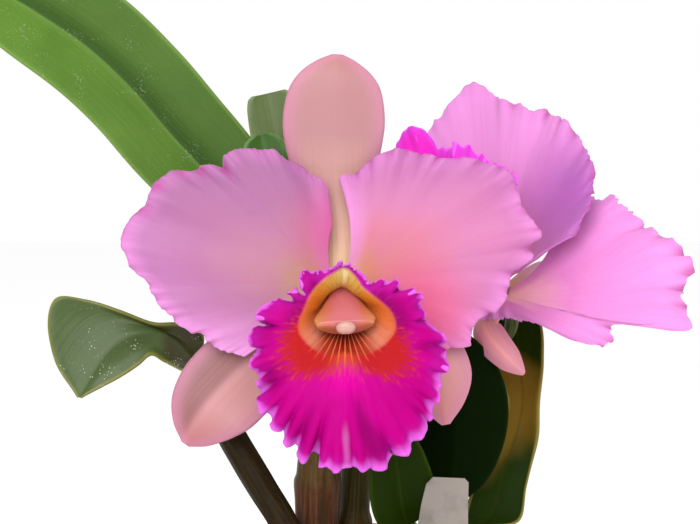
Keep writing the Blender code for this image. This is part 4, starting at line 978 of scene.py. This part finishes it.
# Column and cap: fleshy and waxy. Wax gives them a clear soft highlight over salmon and cream.
waxFinish = {
    "Roughness": 0.34, "IOR": 1.44, "Subsurface Weight": 0.3, "Subsurface Radius": (1.0, 0.5, 0.4),
    "Subsurface Scale": 0.003, "Coat Weight": 0.15, "Coat Roughness": 0.25,
}
columnShape = {
    "halfWidth": ((0, 3.2), (0.35, 3.4), (0.6, 4.8), (0.8, 8.0), (0.93, 10.6), (1, 9.8)),
    "halfDepth": ((0, 3.4), (0.5, 3.4), (0.85, 3.6), (1, 3.0)), "arch": 1.6, "wingDroop": -0.014,
    "cap": (3.4, 2.5, 2.2), "capGap": 0.9, "sides": 56, "rings": 60,
    "tones": ((0.0, "#ad5c61"), (0.35, "#ac575e"), (0.7, "#a85a42"), (1.0, "#a6683b")),
    "capTones": ((0.0, "#a4746a"), (1.0, "#b68e84")),
}


def waxSkin(name, stops, mark):
    look, add, (rise, place, drift) = newLook(name, waxFinish, [mark], [(260.0, 2.0)])
    return endLook(look, add, wanderingRamp(add, rise, drift, 0.06, stops), drift, 0.15, 0.0003)


# The frames of a column at places along it, from its foot in the bloom to its tip in the lip's mouth.
def columnFrames(lip, places):
    x, y = lip["columnTip"]
    axis = ((0, 0, 1.0), (0, 0, 6.5), (x * 0.5, y * 0.42 + columnShape["arch"], 15), (x, y, lip["mouthZ"]))
    return framesAt(axis, [(1, 0, 0)] * len(axis), places)


def makeColumn(name, lip, matrix):
    shape = columnShape
    turn = fullTurn * np.arange(shape["sides"])[None, :] / shape["sides"]
    v = np.linspace(0, 1, shape["rings"] + 1)
    width = smoothAt(shape["halfWidth"], v)[:, None] * np.cos(turn)
    depth = smoothAt(shape["halfDepth"], v)[:, None] * np.sin(turn)
    depth = depth + shape["wingDroop"] * width ** 2 * v[:, None]
    points = toPlant(matrix, *np.moveaxis(offLine(*columnFrames(lip, v), width, depth), -1, 0))
    marks = {"wing": np.abs(width) / 10 + 0.25 * (1 - v[:, None])}
    look = waxSkin(name + "_wax", shape["tones"], "wing")
    piece = gridPiece(name + "_body", points, marks, look, closed=True)
    bm = bmesh.new()
    bm.from_mesh(piece.data)
    bmesh.ops.holes_fill(bm, edges=bm.edges[:], sides=0)
    bmesh.ops.recalc_face_normals(bm, faces=bm.faces[:])
    bm.to_mesh(piece.data)
    bm.free()
    piece.data.shade_smooth()
    return piece


# The anther cap: a small bead with a groove down its front.
def makeCap(name, lip, matrix):
    wide, high, deep = columnShape["cap"]
    tip, side, up = [row[0] for row in columnFrames(lip, np.array([1.0]))]
    ahead = np.cross(up, side)
    centre = tip + ahead * (deep + columnShape["capGap"]) + np.array((0, lip["capLift"], 0))
    bm = bmesh.new()
    bmesh.ops.create_uvsphere(bm, u_segments=36, v_segments=24, radius=1.0)
    for vert in bm.verts:
        vert.co *= 1 - 0.14 * math.exp(-(vert.co.x / 0.16) ** 2) * max(vert.co.z, 0)
        local = side * vert.co.x * wide + up * vert.co.y * high + ahead * vert.co.z * deep + centre
        vert.co = (matrix @ Vector(local)) * mm
    bmesh.ops.recalc_face_normals(bm, faces=bm.faces[:])
    piece = bmeshObject(name + "_pollen_cap", bm)
    piece.data.shade_smooth()
    height = piece.data.attributes.new("height", "FLOAT", "POINT")
    height.data.foreach_set("value", [0.5] * len(piece.data.vertices))
    piece.data.materials.append(waxSkin(name + "_wax", columnShape["capTones"], "height"))
    return piece


def makeBlooms():
    shape = bloomShape
    for name, bloom in blooms.items():
        matrix = bloomMatrix(bloom)
        for side, sepal in bloom["sepals"].items():
            node = f"{name}_sepal_{side}"
            points, marks, _ = bladeGrid(sepal, shape["sepalAcross"], shape["sepalAlong"], matrix)
            marks["rise"] = marks["along"] / marks["along"].max()
            piece = gridPiece(node + "_blade", points, marks, sepalSkin(node + "_skin", sepal))
            thicken(piece, shape["sepalThickness"], marks["edge"], share=0.5, depth=5)
            hand(piece, "sepal_salmon", node)
        for side, petal in bloom["petals"].items():
            node = f"{name}_petal_{side}"
            hand(makePetal(node, petal, matrix), "petal_pink", node)
        for part, make, slot in (("_lip", makeLip, "lip_magenta"), ("_column", makeColumn, "column_cream"),
                                 ("_anther_cap", makeCap, "cap_cream")):
            hand(make(name + part, bloom["lip"], matrix), slot, name + part)
    print("blooms opened")


makeBlooms()


# stems, stalks and rhizome

stemMarks = ("ringX", "ringY", "alongStem", "furrow")


# Lays a wrinkled skin round a line that carries its own radius, and notes where on the stem each point is.
def stemTree():
    tree, add, given = startTree("wrinkledStem", {
        "Sides": "Int", "Wrinkle Depth": "Float", "Wrinkles": "Float", "Seed": "Float",
        "Material": "Material"})
    along = add("GeometryNodeSplineParameter", out=1)
    line = add("GeometryNodeStoreNamedAttribute", onPoints, {
        "Geometry": given["Geometry"], "Name": "alongStem", "Value": along})
    ring = add("GeometryNodeCurvePrimitiveCircle", inputs={"Resolution": given["Sides"], "Radius": 1.0})
    share = add("GeometryNodeSplineParameter")
    turn = add("ShaderNodeMath", times, {0: share, 1: fullTurn})
    for name, operation in (("ringX", "COSINE"), ("ringY", "SINE")):
        wave = add("ShaderNodeMath", {"operation": operation}, {0: turn})
        ring = add("GeometryNodeStoreNamedAttribute", onPoints, {
            "Geometry": ring, "Name": name, "Value": wave})
    skin = add("GeometryNodeCurveToMesh", inputs={
        "Curve": line, "Profile Curve": ring, "Scale": add("GeometryNodeInputRadius"), "Fill Caps": True})
    ringX, ringY, height = [add("GeometryNodeInputNamedAttribute", asFloat, {"Name": mark})
                            for mark in stemMarks[:3]]
    place = add("ShaderNodeCombineXYZ", inputs={
        0: add("ShaderNodeMath", times, {0: ringX, 1: given["Wrinkles"]}),
        1: add("ShaderNodeMath", times, {0: ringY, 1: given["Wrinkles"]}),
        2: add("ShaderNodeMath", timesPlus, {0: height, 1: 28.0, 2: given["Seed"]})})
    furrow = add("ShaderNodeTexNoise", inputs={"Vector": place, "Scale": 1.0, "Detail": 2.0})
    depth = add("ShaderNodeMath", minus, {0: furrow, 1: 0.5})
    depth = add("ShaderNodeMath", times, {0: depth, 1: given["Wrinkle Depth"]})
    offset = add("ShaderNodeVectorMath", scaled, {0: add("GeometryNodeInputNormal"), "Scale": depth})
    skin = add("GeometryNodeStoreNamedAttribute", onPoints, {
        "Geometry": skin, "Name": "furrow", "Value": furrow})
    skin = add("GeometryNodeSetPosition", inputs={"Geometry": skin, "Offset": offset})
    skin = add("GeometryNodeSetShadeSmooth", inputs={"Geometry": skin})
    return endTree(tree, skin, given["Material"])


wrinkledStem = stemTree()


# A curve object of poly lines, each with its path and radius stops, both ends rounded off.
def stemLines(name, runs, count):
    curve = bpy.data.curves.new(name, "CURVE")
    curve.dimensions = "3D"
    shares = np.linspace(0, 1, count)
    for path, radius in runs:
        rounded = 1
        for fromEnd, end in ((shares, radius[0][1]), (1 - shares, radius[-1][1])):
            fromTip = 1 - np.clip(fromEnd / (end / pathLength(path)), 0, 1)
            rounded = rounded * np.sqrt(np.clip(1 - fromTip ** 2, 0.004, 1))
        line = curve.splines.new("POLY")
        line.points.add(count - 1)
        line.points.foreach_set("co", np.hstack([curveAt(path, shares) * mm, np.ones((count, 1))]).ravel())
        line.points.foreach_set("radius", smoothAt(radius, shares) * rounded * mm)
    return newObject(name, curve)


# Swollen stems: living green-brown skin, partly under dry sheaths. It grows waxy, with lengthwise furrows.
stemFinish = {
    "roughness": 0.42, "sides": 48, "rings": 140, "furrowShade": "#2a220e", "spot": "#2c1c0e",
}
# Millimetres: points along a stem's axis, and its radius and tones by share of its length.
stems = {
    # its near-black tones are partly painted shade under the leaves and blooms
    "pseudobulb_left": {
        "axis": ((-20.5, -18.5, 106), (-23, -17.5, 124), (-33, -14, 141), (-43, -10, 157), (-51.5, -7, 172),
            (-57.2, -5, 184.5)),
        "radius": ((0, 4.0), (0.12, 5.2), (0.2, 6.0), (0.24, 5.2), (0.5, 5.6), (0.8, 4.9), (1, 3.0)),
        "tones": ((0.0, "#120901"), (0.17, "#180c01"), (0.21, "#230900"), (0.26, "#191001"),
            (0.6, "#1e1402"), (1.0, "#171401")),
        "light": "#2f2207", "wrinkle": 1.1, "wrinkles": 2.2,
    },
    "pseudobulb_sheathed": {
        "axis": ((-12.5, -2.5, 106), (-12.5, -2, 124), (-12, 0, 148), (-10.4, 2, 170), (-9, 3, 180)),
        "radius": ((0, 4.2), (0.14, 7.6), (0.35, 8.6), (0.42, 8.9), (0.45, 8.0), (0.8, 6.6), (1, 4.0)),
        "tones": ((0.0, "#351c0e"), (0.3, "#462614"), (0.42, "#54321d"), (0.47, "#4c3b1c"),
            (1.0, "#534e20")),
        "light": "#704931", "wrinkle": 1.5, "wrinkles": 3.4,
    },
    # its near-black tones are partly painted shade under the leaves and blooms
    "pseudobulb_olive": {
        "axis": ((1.5, 9.5, 106), (1.5, 9.6, 121), (3, 10.5, 143), (6, 12, 162), (8.6, 13, 176)),
        "radius": ((0, 4.2), (0.16, 5.6), (0.27, 7.2), (0.33, 5.9), (0.7, 5.6), (1, 3.2)),
        "tones": ((0.0, "#281f06"), (0.25, "#352508"), (0.3, "#2a2406"), (1.0, "#36350c")),
        "light": "#4e4115", "wrinkle": 0.9, "wrinkles": 2.2,
    },
    "pseudobulb_back": {
        "axis": ((-10, 29.5, 106), (-10, 29.5, 126), (-11, 30, 160), (-12.2, 31, 190), (-13.5, 32, 206)),
        "radius": ((0, 4.2), (0.2, 6.0), (0.5, 8.2), (0.8, 6.4), (1, 3.0)),
        "tones": ((0.0, "#3b3417"), (0.3, "#494621"), (0.7, "#535827"), (1.0, "#485824")),
        "light": "#6e6d3e", "wrinkle": 1.3, "wrinkles": 2.4,
    },
    "pseudobulb_right": {
        "axis": ((45.5, 7.6, 106), (46, 7.8, 110.5), (46.9, 8.4, 115.2), (48.2, 9.2, 119)),
        "radius": ((0, 4.0), (0.4, 5.2), (0.7, 5.0), (1, 3.2)),
        "tones": ((0.0, "#3b2e16"), (0.6, "#48411e"), (1.0, "#464e24")), "light": "#686539", "wrinkle": 0.8,
        "wrinkles": 2.2,
    },
    "pseudobulb_new": {
        "axis": ((22, -5.2, 106), (22.2, -6.6, 114), (21.8, -11, 121.5), (21, -15, 127)),
        "radius": ((0, 4.0), (0.35, 5.8), (0.7, 5.2), (1, 3.2)),
        "tones": ((0.0, "#483b1c"), (0.5, "#465321"), (1.0, "#3b581e")), "light": "#6e753e", "wrinkle": 0.7,
        "wrinkles": 2.0,
    },
}


# A stem skin: tones run up its length, light streaks follow its fibres, and spots are dark; painted shade
# darkens its furrows.
def stemSkin(name, tones, light, length, roughness=stemFinish["roughness"]):
    look, add, (ringX, ringY, along, furrow, place, spots) = newLook(
        name, {"Roughness": roughness, "IOR": 1.45, "Specular IOR Level": 0.1}, stemMarks, [(260.0, 3.0)])
    share = add("ShaderNodeMath", {"operation": "DIVIDE"}, {0: along, 1: length * mm})
    colour = add("ShaderNodeValToRGB", inputs={0: share}, stops=tones)
    slow = add("ShaderNodeMath", times, {0: along, 1: 9.0})
    fibres = add("ShaderNodeCombineXYZ", inputs={0: ringX, 1: ringY, 2: slow})
    grain = add("ShaderNodeTexNoise", inputs={"Vector": fibres, "Scale": 7.0, "Detail": 4.0})
    colour = layTones(add, colour, [(light, grain, 0.42, 0.72, 0.75)], linear)
    colour = layTones(add, colour, [(stemFinish["furrowShade"], furrow, 0.5, 0.32, 0.7)])
    colour = layTones(add, colour, [(stemFinish["spot"], spots, 0.58, 0.72, 0.5)], linear)
    relief = add("ShaderNodeMath", timesPlus, {0: spots, 1: 0.4, 2: grain})
    return endLook(look, add, colour, relief, 0.6, 0.0006)


def makeStem(name, runs, look, wrinkle, wrinkles, seed, slot, replaced, rings=stemFinish["rings"]):
    piece = stemLines(name + "_flesh", runs, rings)
    growWith(piece, wrinkledStem, {
        "Sides": stemFinish["sides"], "Wrinkle Depth": wrinkle * mm, "Wrinkles": wrinkles,
        "Seed": float(seed), "Material": look})
    hand(applyModifiers(piece), slot, replaced)


rhizomeShape = {
    "radius": 5.6, "rings": 16,
    "runs": (
        ((-9, 39, 105), (-10, 29, 105.5), (-12, 12, 106), (-12.5, -3, 106), (-16, -12, 106),
            (-21.5, -19, 106), (-26, -26, 105)),
        ((-12, 13, 106), (-6, 12, 106), (2, 10, 106), (12, 1, 106), (22, -5, 106), (34, -1, 106),
            (44, 6.5, 106), (52.5, 11.5, 105.5))),
    "tones": ((0.0, "#3c2918"), (0.5, "#4b371d"), (1.0, "#3f411c")), "light": "#8a7040", "wrinkle": 1.2,
    "wrinkles": 2.6,
}
stalkShape = {
    "radius": ((0, 3.8), (0.1, 3.7), (0.25, 2.6), (0.6, 2.0), (1, 1.8)),
    "front": (((0.0, "#a68a56"), (0.2, "#8a8a4e"), (0.6, "#667335"), (1.0, "#53622e")), "#979765"),
    "back": (((0.0, "#76764a"), (0.15, "#3e4622"), (0.6, "#3a4420"), (1.0, "#3e4822")), "#5c6438"),
    "wrinkle": 0.5, "wrinkles": 1.6, "rings": 180,
}
sheathShape = {
    "axis": ((-8.8, -0.3, 180.8), (-8.7, -0.6, 190), (-8.4, -1.4, 198), (-7.8, -2.2, 205)),
    "radius": ((0, 5.0), (0.3, 5.7), (0.8, 6.0), (1, 6.8)), "wall": 0.8,
    "tones": ((0.0, "#585f29"), (0.5, "#837e47"), (1.0, "#8a764b")), "light": "#c0b078", "length": 24,
    "sides": 64,
}


def makeStems():
    smooth = np.linspace(0, 1, 60)
    for seed, (name, stem) in enumerate(stems.items()):
        length = float(pathLength(curveAt(stem["axis"], smooth)))
        look = stemSkin(name + "_skin", stem["tones"], stem["light"], length)
        makeStem(name, [(stem["axis"], stem["radius"])], look, stem["wrinkle"], stem["wrinkles"], seed * 3.7,
                 "stem_olive", name)
    shape = rhizomeShape
    knots = shape["rings"]
    radius = [(n / knots, shape["radius"] + (0.5 if n % 3 == 1 else -0.1)) for n in range(knots + 1)]
    look = stemSkin("rhizome_skin", shape["tones"], shape["light"], 90, roughness=0.55)
    runs = [(path, radius) for path in shape["runs"]]
    makeStem("rhizome", runs, look, shape["wrinkle"], shape["wrinkles"], 40, "stem_olive", "rhizome")
    for name, bloom in blooms.items():
        matrix = bloomMatrix(bloom)
        path = [tuple(matrix @ Vector((0, 0, z))) for z in (0.5, -5.5)] + list(bloom["stalk"])
        length = float(pathLength(curveAt(path, smooth)))
        look = stemSkin(name + "_stalk_skin", *stalkShape[name], length)
        makeStem(name + "_pedicel", [(path, stalkShape["radius"])], look, stalkShape["wrinkle"],
                 stalkShape["wrinkles"], 60, "stalk_green", name + "_pedicel", rings=stalkShape["rings"])
    print("stems grown")


def makeSheath():
    shape = sheathShape
    turn = fullTurn * np.arange(shape["sides"])[None, :] / shape["sides"]
    v = np.linspace(0, 1, 40)
    line = framesAt(shape["axis"], [(0.3, 1.0, 0.1)] * len(shape["axis"]), v)
    ribs = np.sin(turn * 9)
    radius = smoothAt(shape["radius"], v)[:, None] + 0.25 * ribs * (0.3 + v[:, None])
    marks = {"alongStem": v[:, None] * shape["length"] * mm, "ringX": np.cos(turn), "ringY": np.sin(turn),
             "furrow": 0.5 + 0.2 * ribs}
    look = stemSkin("floral_sheath_paper", shape["tones"], shape["light"], shape["length"], roughness=0.6)
    points = offLine(*line, radius * np.cos(turn), radius * np.sin(turn))
    piece = gridPiece("floral_sheath_tube", points, marks, look, closed=True)
    hand(thicken(piece, shape["wall"]), "sheath_green", "floral_sheath")


makeStems()
makeSheath()


# pot, bark and label

# Terracotta: wheel-turned, fired unglazed. It is matt, with turning lines, dark clouds and lime at its foot.
potShape = {
    "height": 110, "rimRadius": 65, "baseRadius": 46, "wall": 5, "floor": 7, "bandHeight": 19, "bandStep": 3,
    "sides": 128, "drainHoles": 6, "drainRadius": 4.5, "drainCircle": 27, "clay": "#b4623c",
    "clayDark": "#93492a", "lime": "#d0a890", "ringSpacing": 1.9, "grit": "#6d3520", "lipRound": 1.5,
    "footRound": 1.2,
}


def terracotta():
    look, add, (place, clouds, stain, grit) = newLook(
        "terracotta_turned", {"Roughness": 0.86, "IOR": 1.5, "Specular IOR Level": 0.35},
        noises=((26.0, 5.0), (60.0, 6.0), (1300.0, 2.0)))
    colour = add("ShaderNodeMix", asColour, {0: clouds, 6: potShape["clayDark"], 7: potShape["clay"]}, out=2)
    height = add("ShaderNodeSeparateXYZ", inputs={0: place}, out=2)
    foot = add("ShaderNodeMapRange", smoothStep, {"Value": height, 1: 0.06, 2: 0.0})
    lime = add("ShaderNodeMath", timesPlus, {0: foot, 1: 0.22, 2: stain})
    colour = layTones(add, colour, [(potShape["lime"], lime, 0.52, 0.82, 0.65)])
    colour = layTones(add, colour, [(potShape["grit"], grit, 0.6, 0.75, 0.35)], linear)
    turns = add("ShaderNodeMath", times, {0: height, 1: fullTurn / (potShape["ringSpacing"] * mm)})
    lines = add("ShaderNodeMath", {"operation": "SINE"}, {0: turns})
    lines = add("ShaderNodeMath", times, {0: lines, 1: clouds})
    relief = add("ShaderNodeMath", timesPlus, {0: lines, 1: 0.5, 2: grit})
    return endLook(look, add, colour, relief, 0.35, 0.0005)


def makePot():
    shape = potShape
    top, floor, rim, base = [shape[key] for key in ("height", "floor", "rimRadius", "baseRadius")]
    rimInner = rim - shape["wall"] - shape["bandStep"]
    stepZ = top - shape["bandHeight"]
    lip, foot = shape["lipRound"], shape["footRound"]
    profile = (
        (0, floor), (base - shape["wall"], floor), (rimInner, top - lip), (rimInner + lip, top),
        (rim - lip, top), (rim, top - lip), (rim - 0.8, stepZ + 1.2), (rim - 2, stepZ),
        (rim - shape["bandStep"] - 1, stepZ), (base, foot), (base - foot, 0), (0, 0))
    bm = bmesh.new()
    verts = [bm.verts.new((r * mm, 0, z * mm)) for r, z in profile]
    edges = [bm.edges.new(pair) for pair in zip(verts, verts[1:])]
    bmesh.ops.spin(bm, geom=verts + edges, cent=(0, 0, 0), axis=(0, 0, 1), angle=fullTurn,
                   steps=shape["sides"], use_duplicate=False)
    bmesh.ops.remove_doubles(bm, verts=bm.verts[:], dist=0.00005)
    bmesh.ops.recalc_face_normals(bm, faces=bm.faces[:])
    pot = bmeshObject("clay_pot", bm)
    bm = bmesh.new()
    drain = shape["drainRadius"] * mm
    for n in range(shape["drainHoles"]):
        turn = fullTurn * n / shape["drainHoles"]
        spot = Vector((math.cos(turn), math.sin(turn), 0)) * shape["drainCircle"]
        spot.z = floor / 2
        bmesh.ops.create_cone(bm, cap_ends=True, segments=24, radius1=drain, radius2=drain,
                              depth=floor * 3 * mm, matrix=Matrix.Translation(spot * mm))
    drill = bmeshObject("drainDrill", bm)
    cut = pot.modifiers.new("drains", "BOOLEAN")
    cut.operation = "DIFFERENCE"
    cut.object = drill
    soft = pot.modifiers.new("edges", "BEVEL")
    soft.width = 0.5 * mm
    soft.segments = 2
    soft.limit_method = "ANGLE"
    soft.angle_limit = math.radians(25)
    applyModifiers(pot)
    bpy.data.objects.remove(drill, do_unlink=True)
    pot.data.materials.clear()
    pot.data.materials.append(terracotta())
    pot.data.shade_smooth()
    pot.data.set_sharp_from_angle(angle=math.radians(35))
    hand(pot, "terracotta", "pot")
    print("pot turned")


# Orchid bark: fir bark, broken and dried. Each chip is a layered red-brown chunk, paler where it weathers.
barkShape = {
    "top": 103.6, "spread": 51, "chip": (13, 8.5, 5), "spacing": 5.6, "stemRoom": 8,
    "tones": ((0.0, "#3c2012"), (0.35, "#5e3018"), (0.7, "#7c4a28"), (1.0, "#94704e")), "crack": "#20120a",
}


def firBark(name, marks=()):
    look, add, (*chip, place, broad) = newLook(
        name, {"Roughness": 0.9, "IOR": 1.45, "Specular IOR Level": 0.3}, marks, [(150.0, 4.0)])
    tone = broad
    if chip:
        tone = add("ShaderNodeMath", timesPlus, {0: broad, 1: 0.5, 2: chip[0]})
        tone = add("ShaderNodeMath", times, {0: tone, 1: 0.75})
    colour = add("ShaderNodeValToRGB", inputs={0: tone}, stops=barkShape["tones"])
    layers = add("ShaderNodeMapping", inputs={"Vector": place, "Scale": (1.0, 1.0, 4.0)})
    grain = add("ShaderNodeTexNoise", inputs={"Vector": layers, "Scale": 420.0, "Detail": 5.0})
    colour = layTones(add, colour, [(barkShape["crack"], grain, 0.5, 0.3, 0.7)], linear)
    return endLook(look, add, colour, grain, 0.8, 0.0012)


# Scatters chips over the bed wherever its "room" value is larger than Room.
def chipTree():
    tree, add, given = startTree("barkChips", {
        "Chip Size": "Vector", "Spacing": "Float", "Room": "Float", "Seed": "Int", "Material": "Material"})
    room = add("GeometryNodeInputNamedAttribute", asFloat, {"Name": "room"})
    free = add("FunctionNodeCompare", {"data_type": "FLOAT", "operation": "GREATER_THAN"}, {
        0: room, 1: given["Room"]})
    spots = add("GeometryNodeDistributePointsOnFaces", {"distribute_method": "POISSON"}, {
        "Mesh": given["Geometry"], "Selection": free, "Distance Min": given["Spacing"],
        "Density Max": 60000.0, "Seed": given["Seed"]})
    chip = add("GeometryNodeMeshCube", inputs={
        "Size": given["Chip Size"], "Vertices X": 5, "Vertices Y": 4, "Vertices Z": 3})
    turn, size = [
        add("FunctionNodeRandomValue", {"data_type": "FLOAT_VECTOR"}, {0: least, 1: most, "Seed": seed})
        for least, most, seed in (((-0.5, -0.5, 0.0), (0.5, 0.5, 6.283), given["Seed"]),
                                  ((0.55, 0.6, 0.6), (1.3, 1.25, 1.3), 5))]
    laid = add("GeometryNodeInstanceOnPoints", inputs={
        "Points": spots, "Instance": chip, "Rotation": add("FunctionNodeEulerToRotation", inputs={0: turn}),
        "Scale": size})
    tone = add("FunctionNodeRandomValue", asFloat, {2: 0.0, 3: 1.0, "Seed": 9}, out=1)
    laid = add("GeometryNodeStoreNamedAttribute", {"data_type": "FLOAT", "domain": "INSTANCE"}, {
        "Geometry": laid, "Name": "chipTone", "Value": tone})
    real = add("GeometryNodeRealizeInstances", inputs={"Geometry": laid})
    lumps = add("ShaderNodeTexNoise", inputs={"Scale": 170.0, "Detail": 2.0}, out=1)
    push = add("ShaderNodeVectorMath", minus, {0: lumps, 1: (0.5, 0.5, 0.5)})
    push = add("ShaderNodeVectorMath", scaled, {0: push, "Scale": 0.011})
    real = add("GeometryNodeSetPosition", inputs={"Geometry": real, "Offset": push})
    return endTree(tree, real, given["Material"])


def makeBark():
    shape = barkShape
    look = firBark("fir_bark_packed")
    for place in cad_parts["potting_bark"].material_slots:
        place.material = look
    rings = np.linspace(0.02, 1, 30)[:, None] * shape["spread"]
    turn = fullTurn * np.arange(90)[None, :] / 90
    points = np.stack(np.broadcast_arrays(rings * np.cos(turn), rings * np.sin(turn), shape["top"]), axis=-1)
    # chips keep off the rhizome, the stems' feet and the label
    busy = np.concatenate([
        *(curveAt(path, np.linspace(0, 1, 60)) for path in rhizomeShape["runs"]),
        [stem["axis"][1] for stem in stems.values()],
        [(x, labelShape["place"][1], 0) for x in np.linspace(28, 40, 7)]])[:, :2]
    gaps = np.linalg.norm(points[:, :, None, :2] - busy[None, None], axis=-1).min(axis=-1)
    chips = gridPiece("bark_chips", points, {"room": gaps * mm}, look, closed=True)
    growWith(chips, chipTree(), {
        "Chip Size": tuple(c * mm for c in shape["chip"]), "Spacing": shape["spacing"] * mm,
        "Room": shape["stemRoom"] * mm, "Seed": 3, "Material": firBark("fir_bark_chip", ["chipTone"])})
    chips = hand(applyModifiers(chips), "fir_bark")
    print("bark laid:", len(chips.data.polygons), "faces")


# Plant label: injection-moulded polystyrene, satin off-white, a little soiled. It is left bare.
labelShape = {
    "thickness": 1.0,
    "outline": ((-8.9, 0), (-8.2, 7), (-6.8, 14.6), (-4.4, 17.3), (7.2, 17.4), (8.7, 15.9), (8.9, 9),
        (9.4, 0), (9.2, -14), (0, -44), (-8.9, -14)),
    "place": (33.8, -27.0, 129.6), "lean": 3, "bevel": 0.2, "plastic": "#7c736b", "soil": "#514a44",
}


def labelPlastic():
    settings = {"Roughness": 0.42, "IOR": 1.59, "Subsurface Weight": 0.05, "Subsurface Scale": 0.001}
    look, add, (place, smear, scuff) = newLook(
        "label_polystyrene", settings, noises=((140.0, 4.0), (900.0, 3.0)))
    soiled = add("ShaderNodeMapRange", inputs={"Value": smear, 1: 0.5, 2: 0.75, 3: 0.0, 4: 0.6})
    tones = {6: labelShape["plastic"], 7: labelShape["soil"]}
    colour = add("ShaderNodeMix", asColour, {0: soiled, **tones}, out=2)
    return endLook(look, add, colour, scuff, 0.15, 0.0002)


def makeLabel():
    shape = labelShape
    curve = bpy.data.curves.new("label_tag", "CURVE")
    curve.dimensions = "2D"
    curve.fill_mode = "BOTH"
    curve.extrude = (shape["thickness"] / 2 - shape["bevel"]) * mm
    curve.bevel_depth = shape["bevel"] * mm
    curve.bevel_resolution = 2
    curve.offset = -shape["bevel"] * mm
    line = curve.splines.new("POLY")
    line.points.add(len(shape["outline"]) - 1)
    line.use_cyclic_u = True
    for spot, (x, y) in zip(line.points, shape["outline"]):
        spot.co = (x * mm, y * mm, 0, 1)
    tag = applyModifiers(newObject("label_tag", curve))
    upright = Matrix.Rotation(math.radians(shape["lean"]), 4, "Y") @ Matrix.Rotation(math.pi / 2, 4, "X")
    tag.data.transform(Matrix.Translation(Vector(shape["place"]) * mm) @ upright)
    tag.data.materials.clear()
    tag.data.materials.append(labelPlastic())
    hand(tag, "label_plastic", "plant_label")
    print("label set")


makePot()
makeBark()
makeLabel()
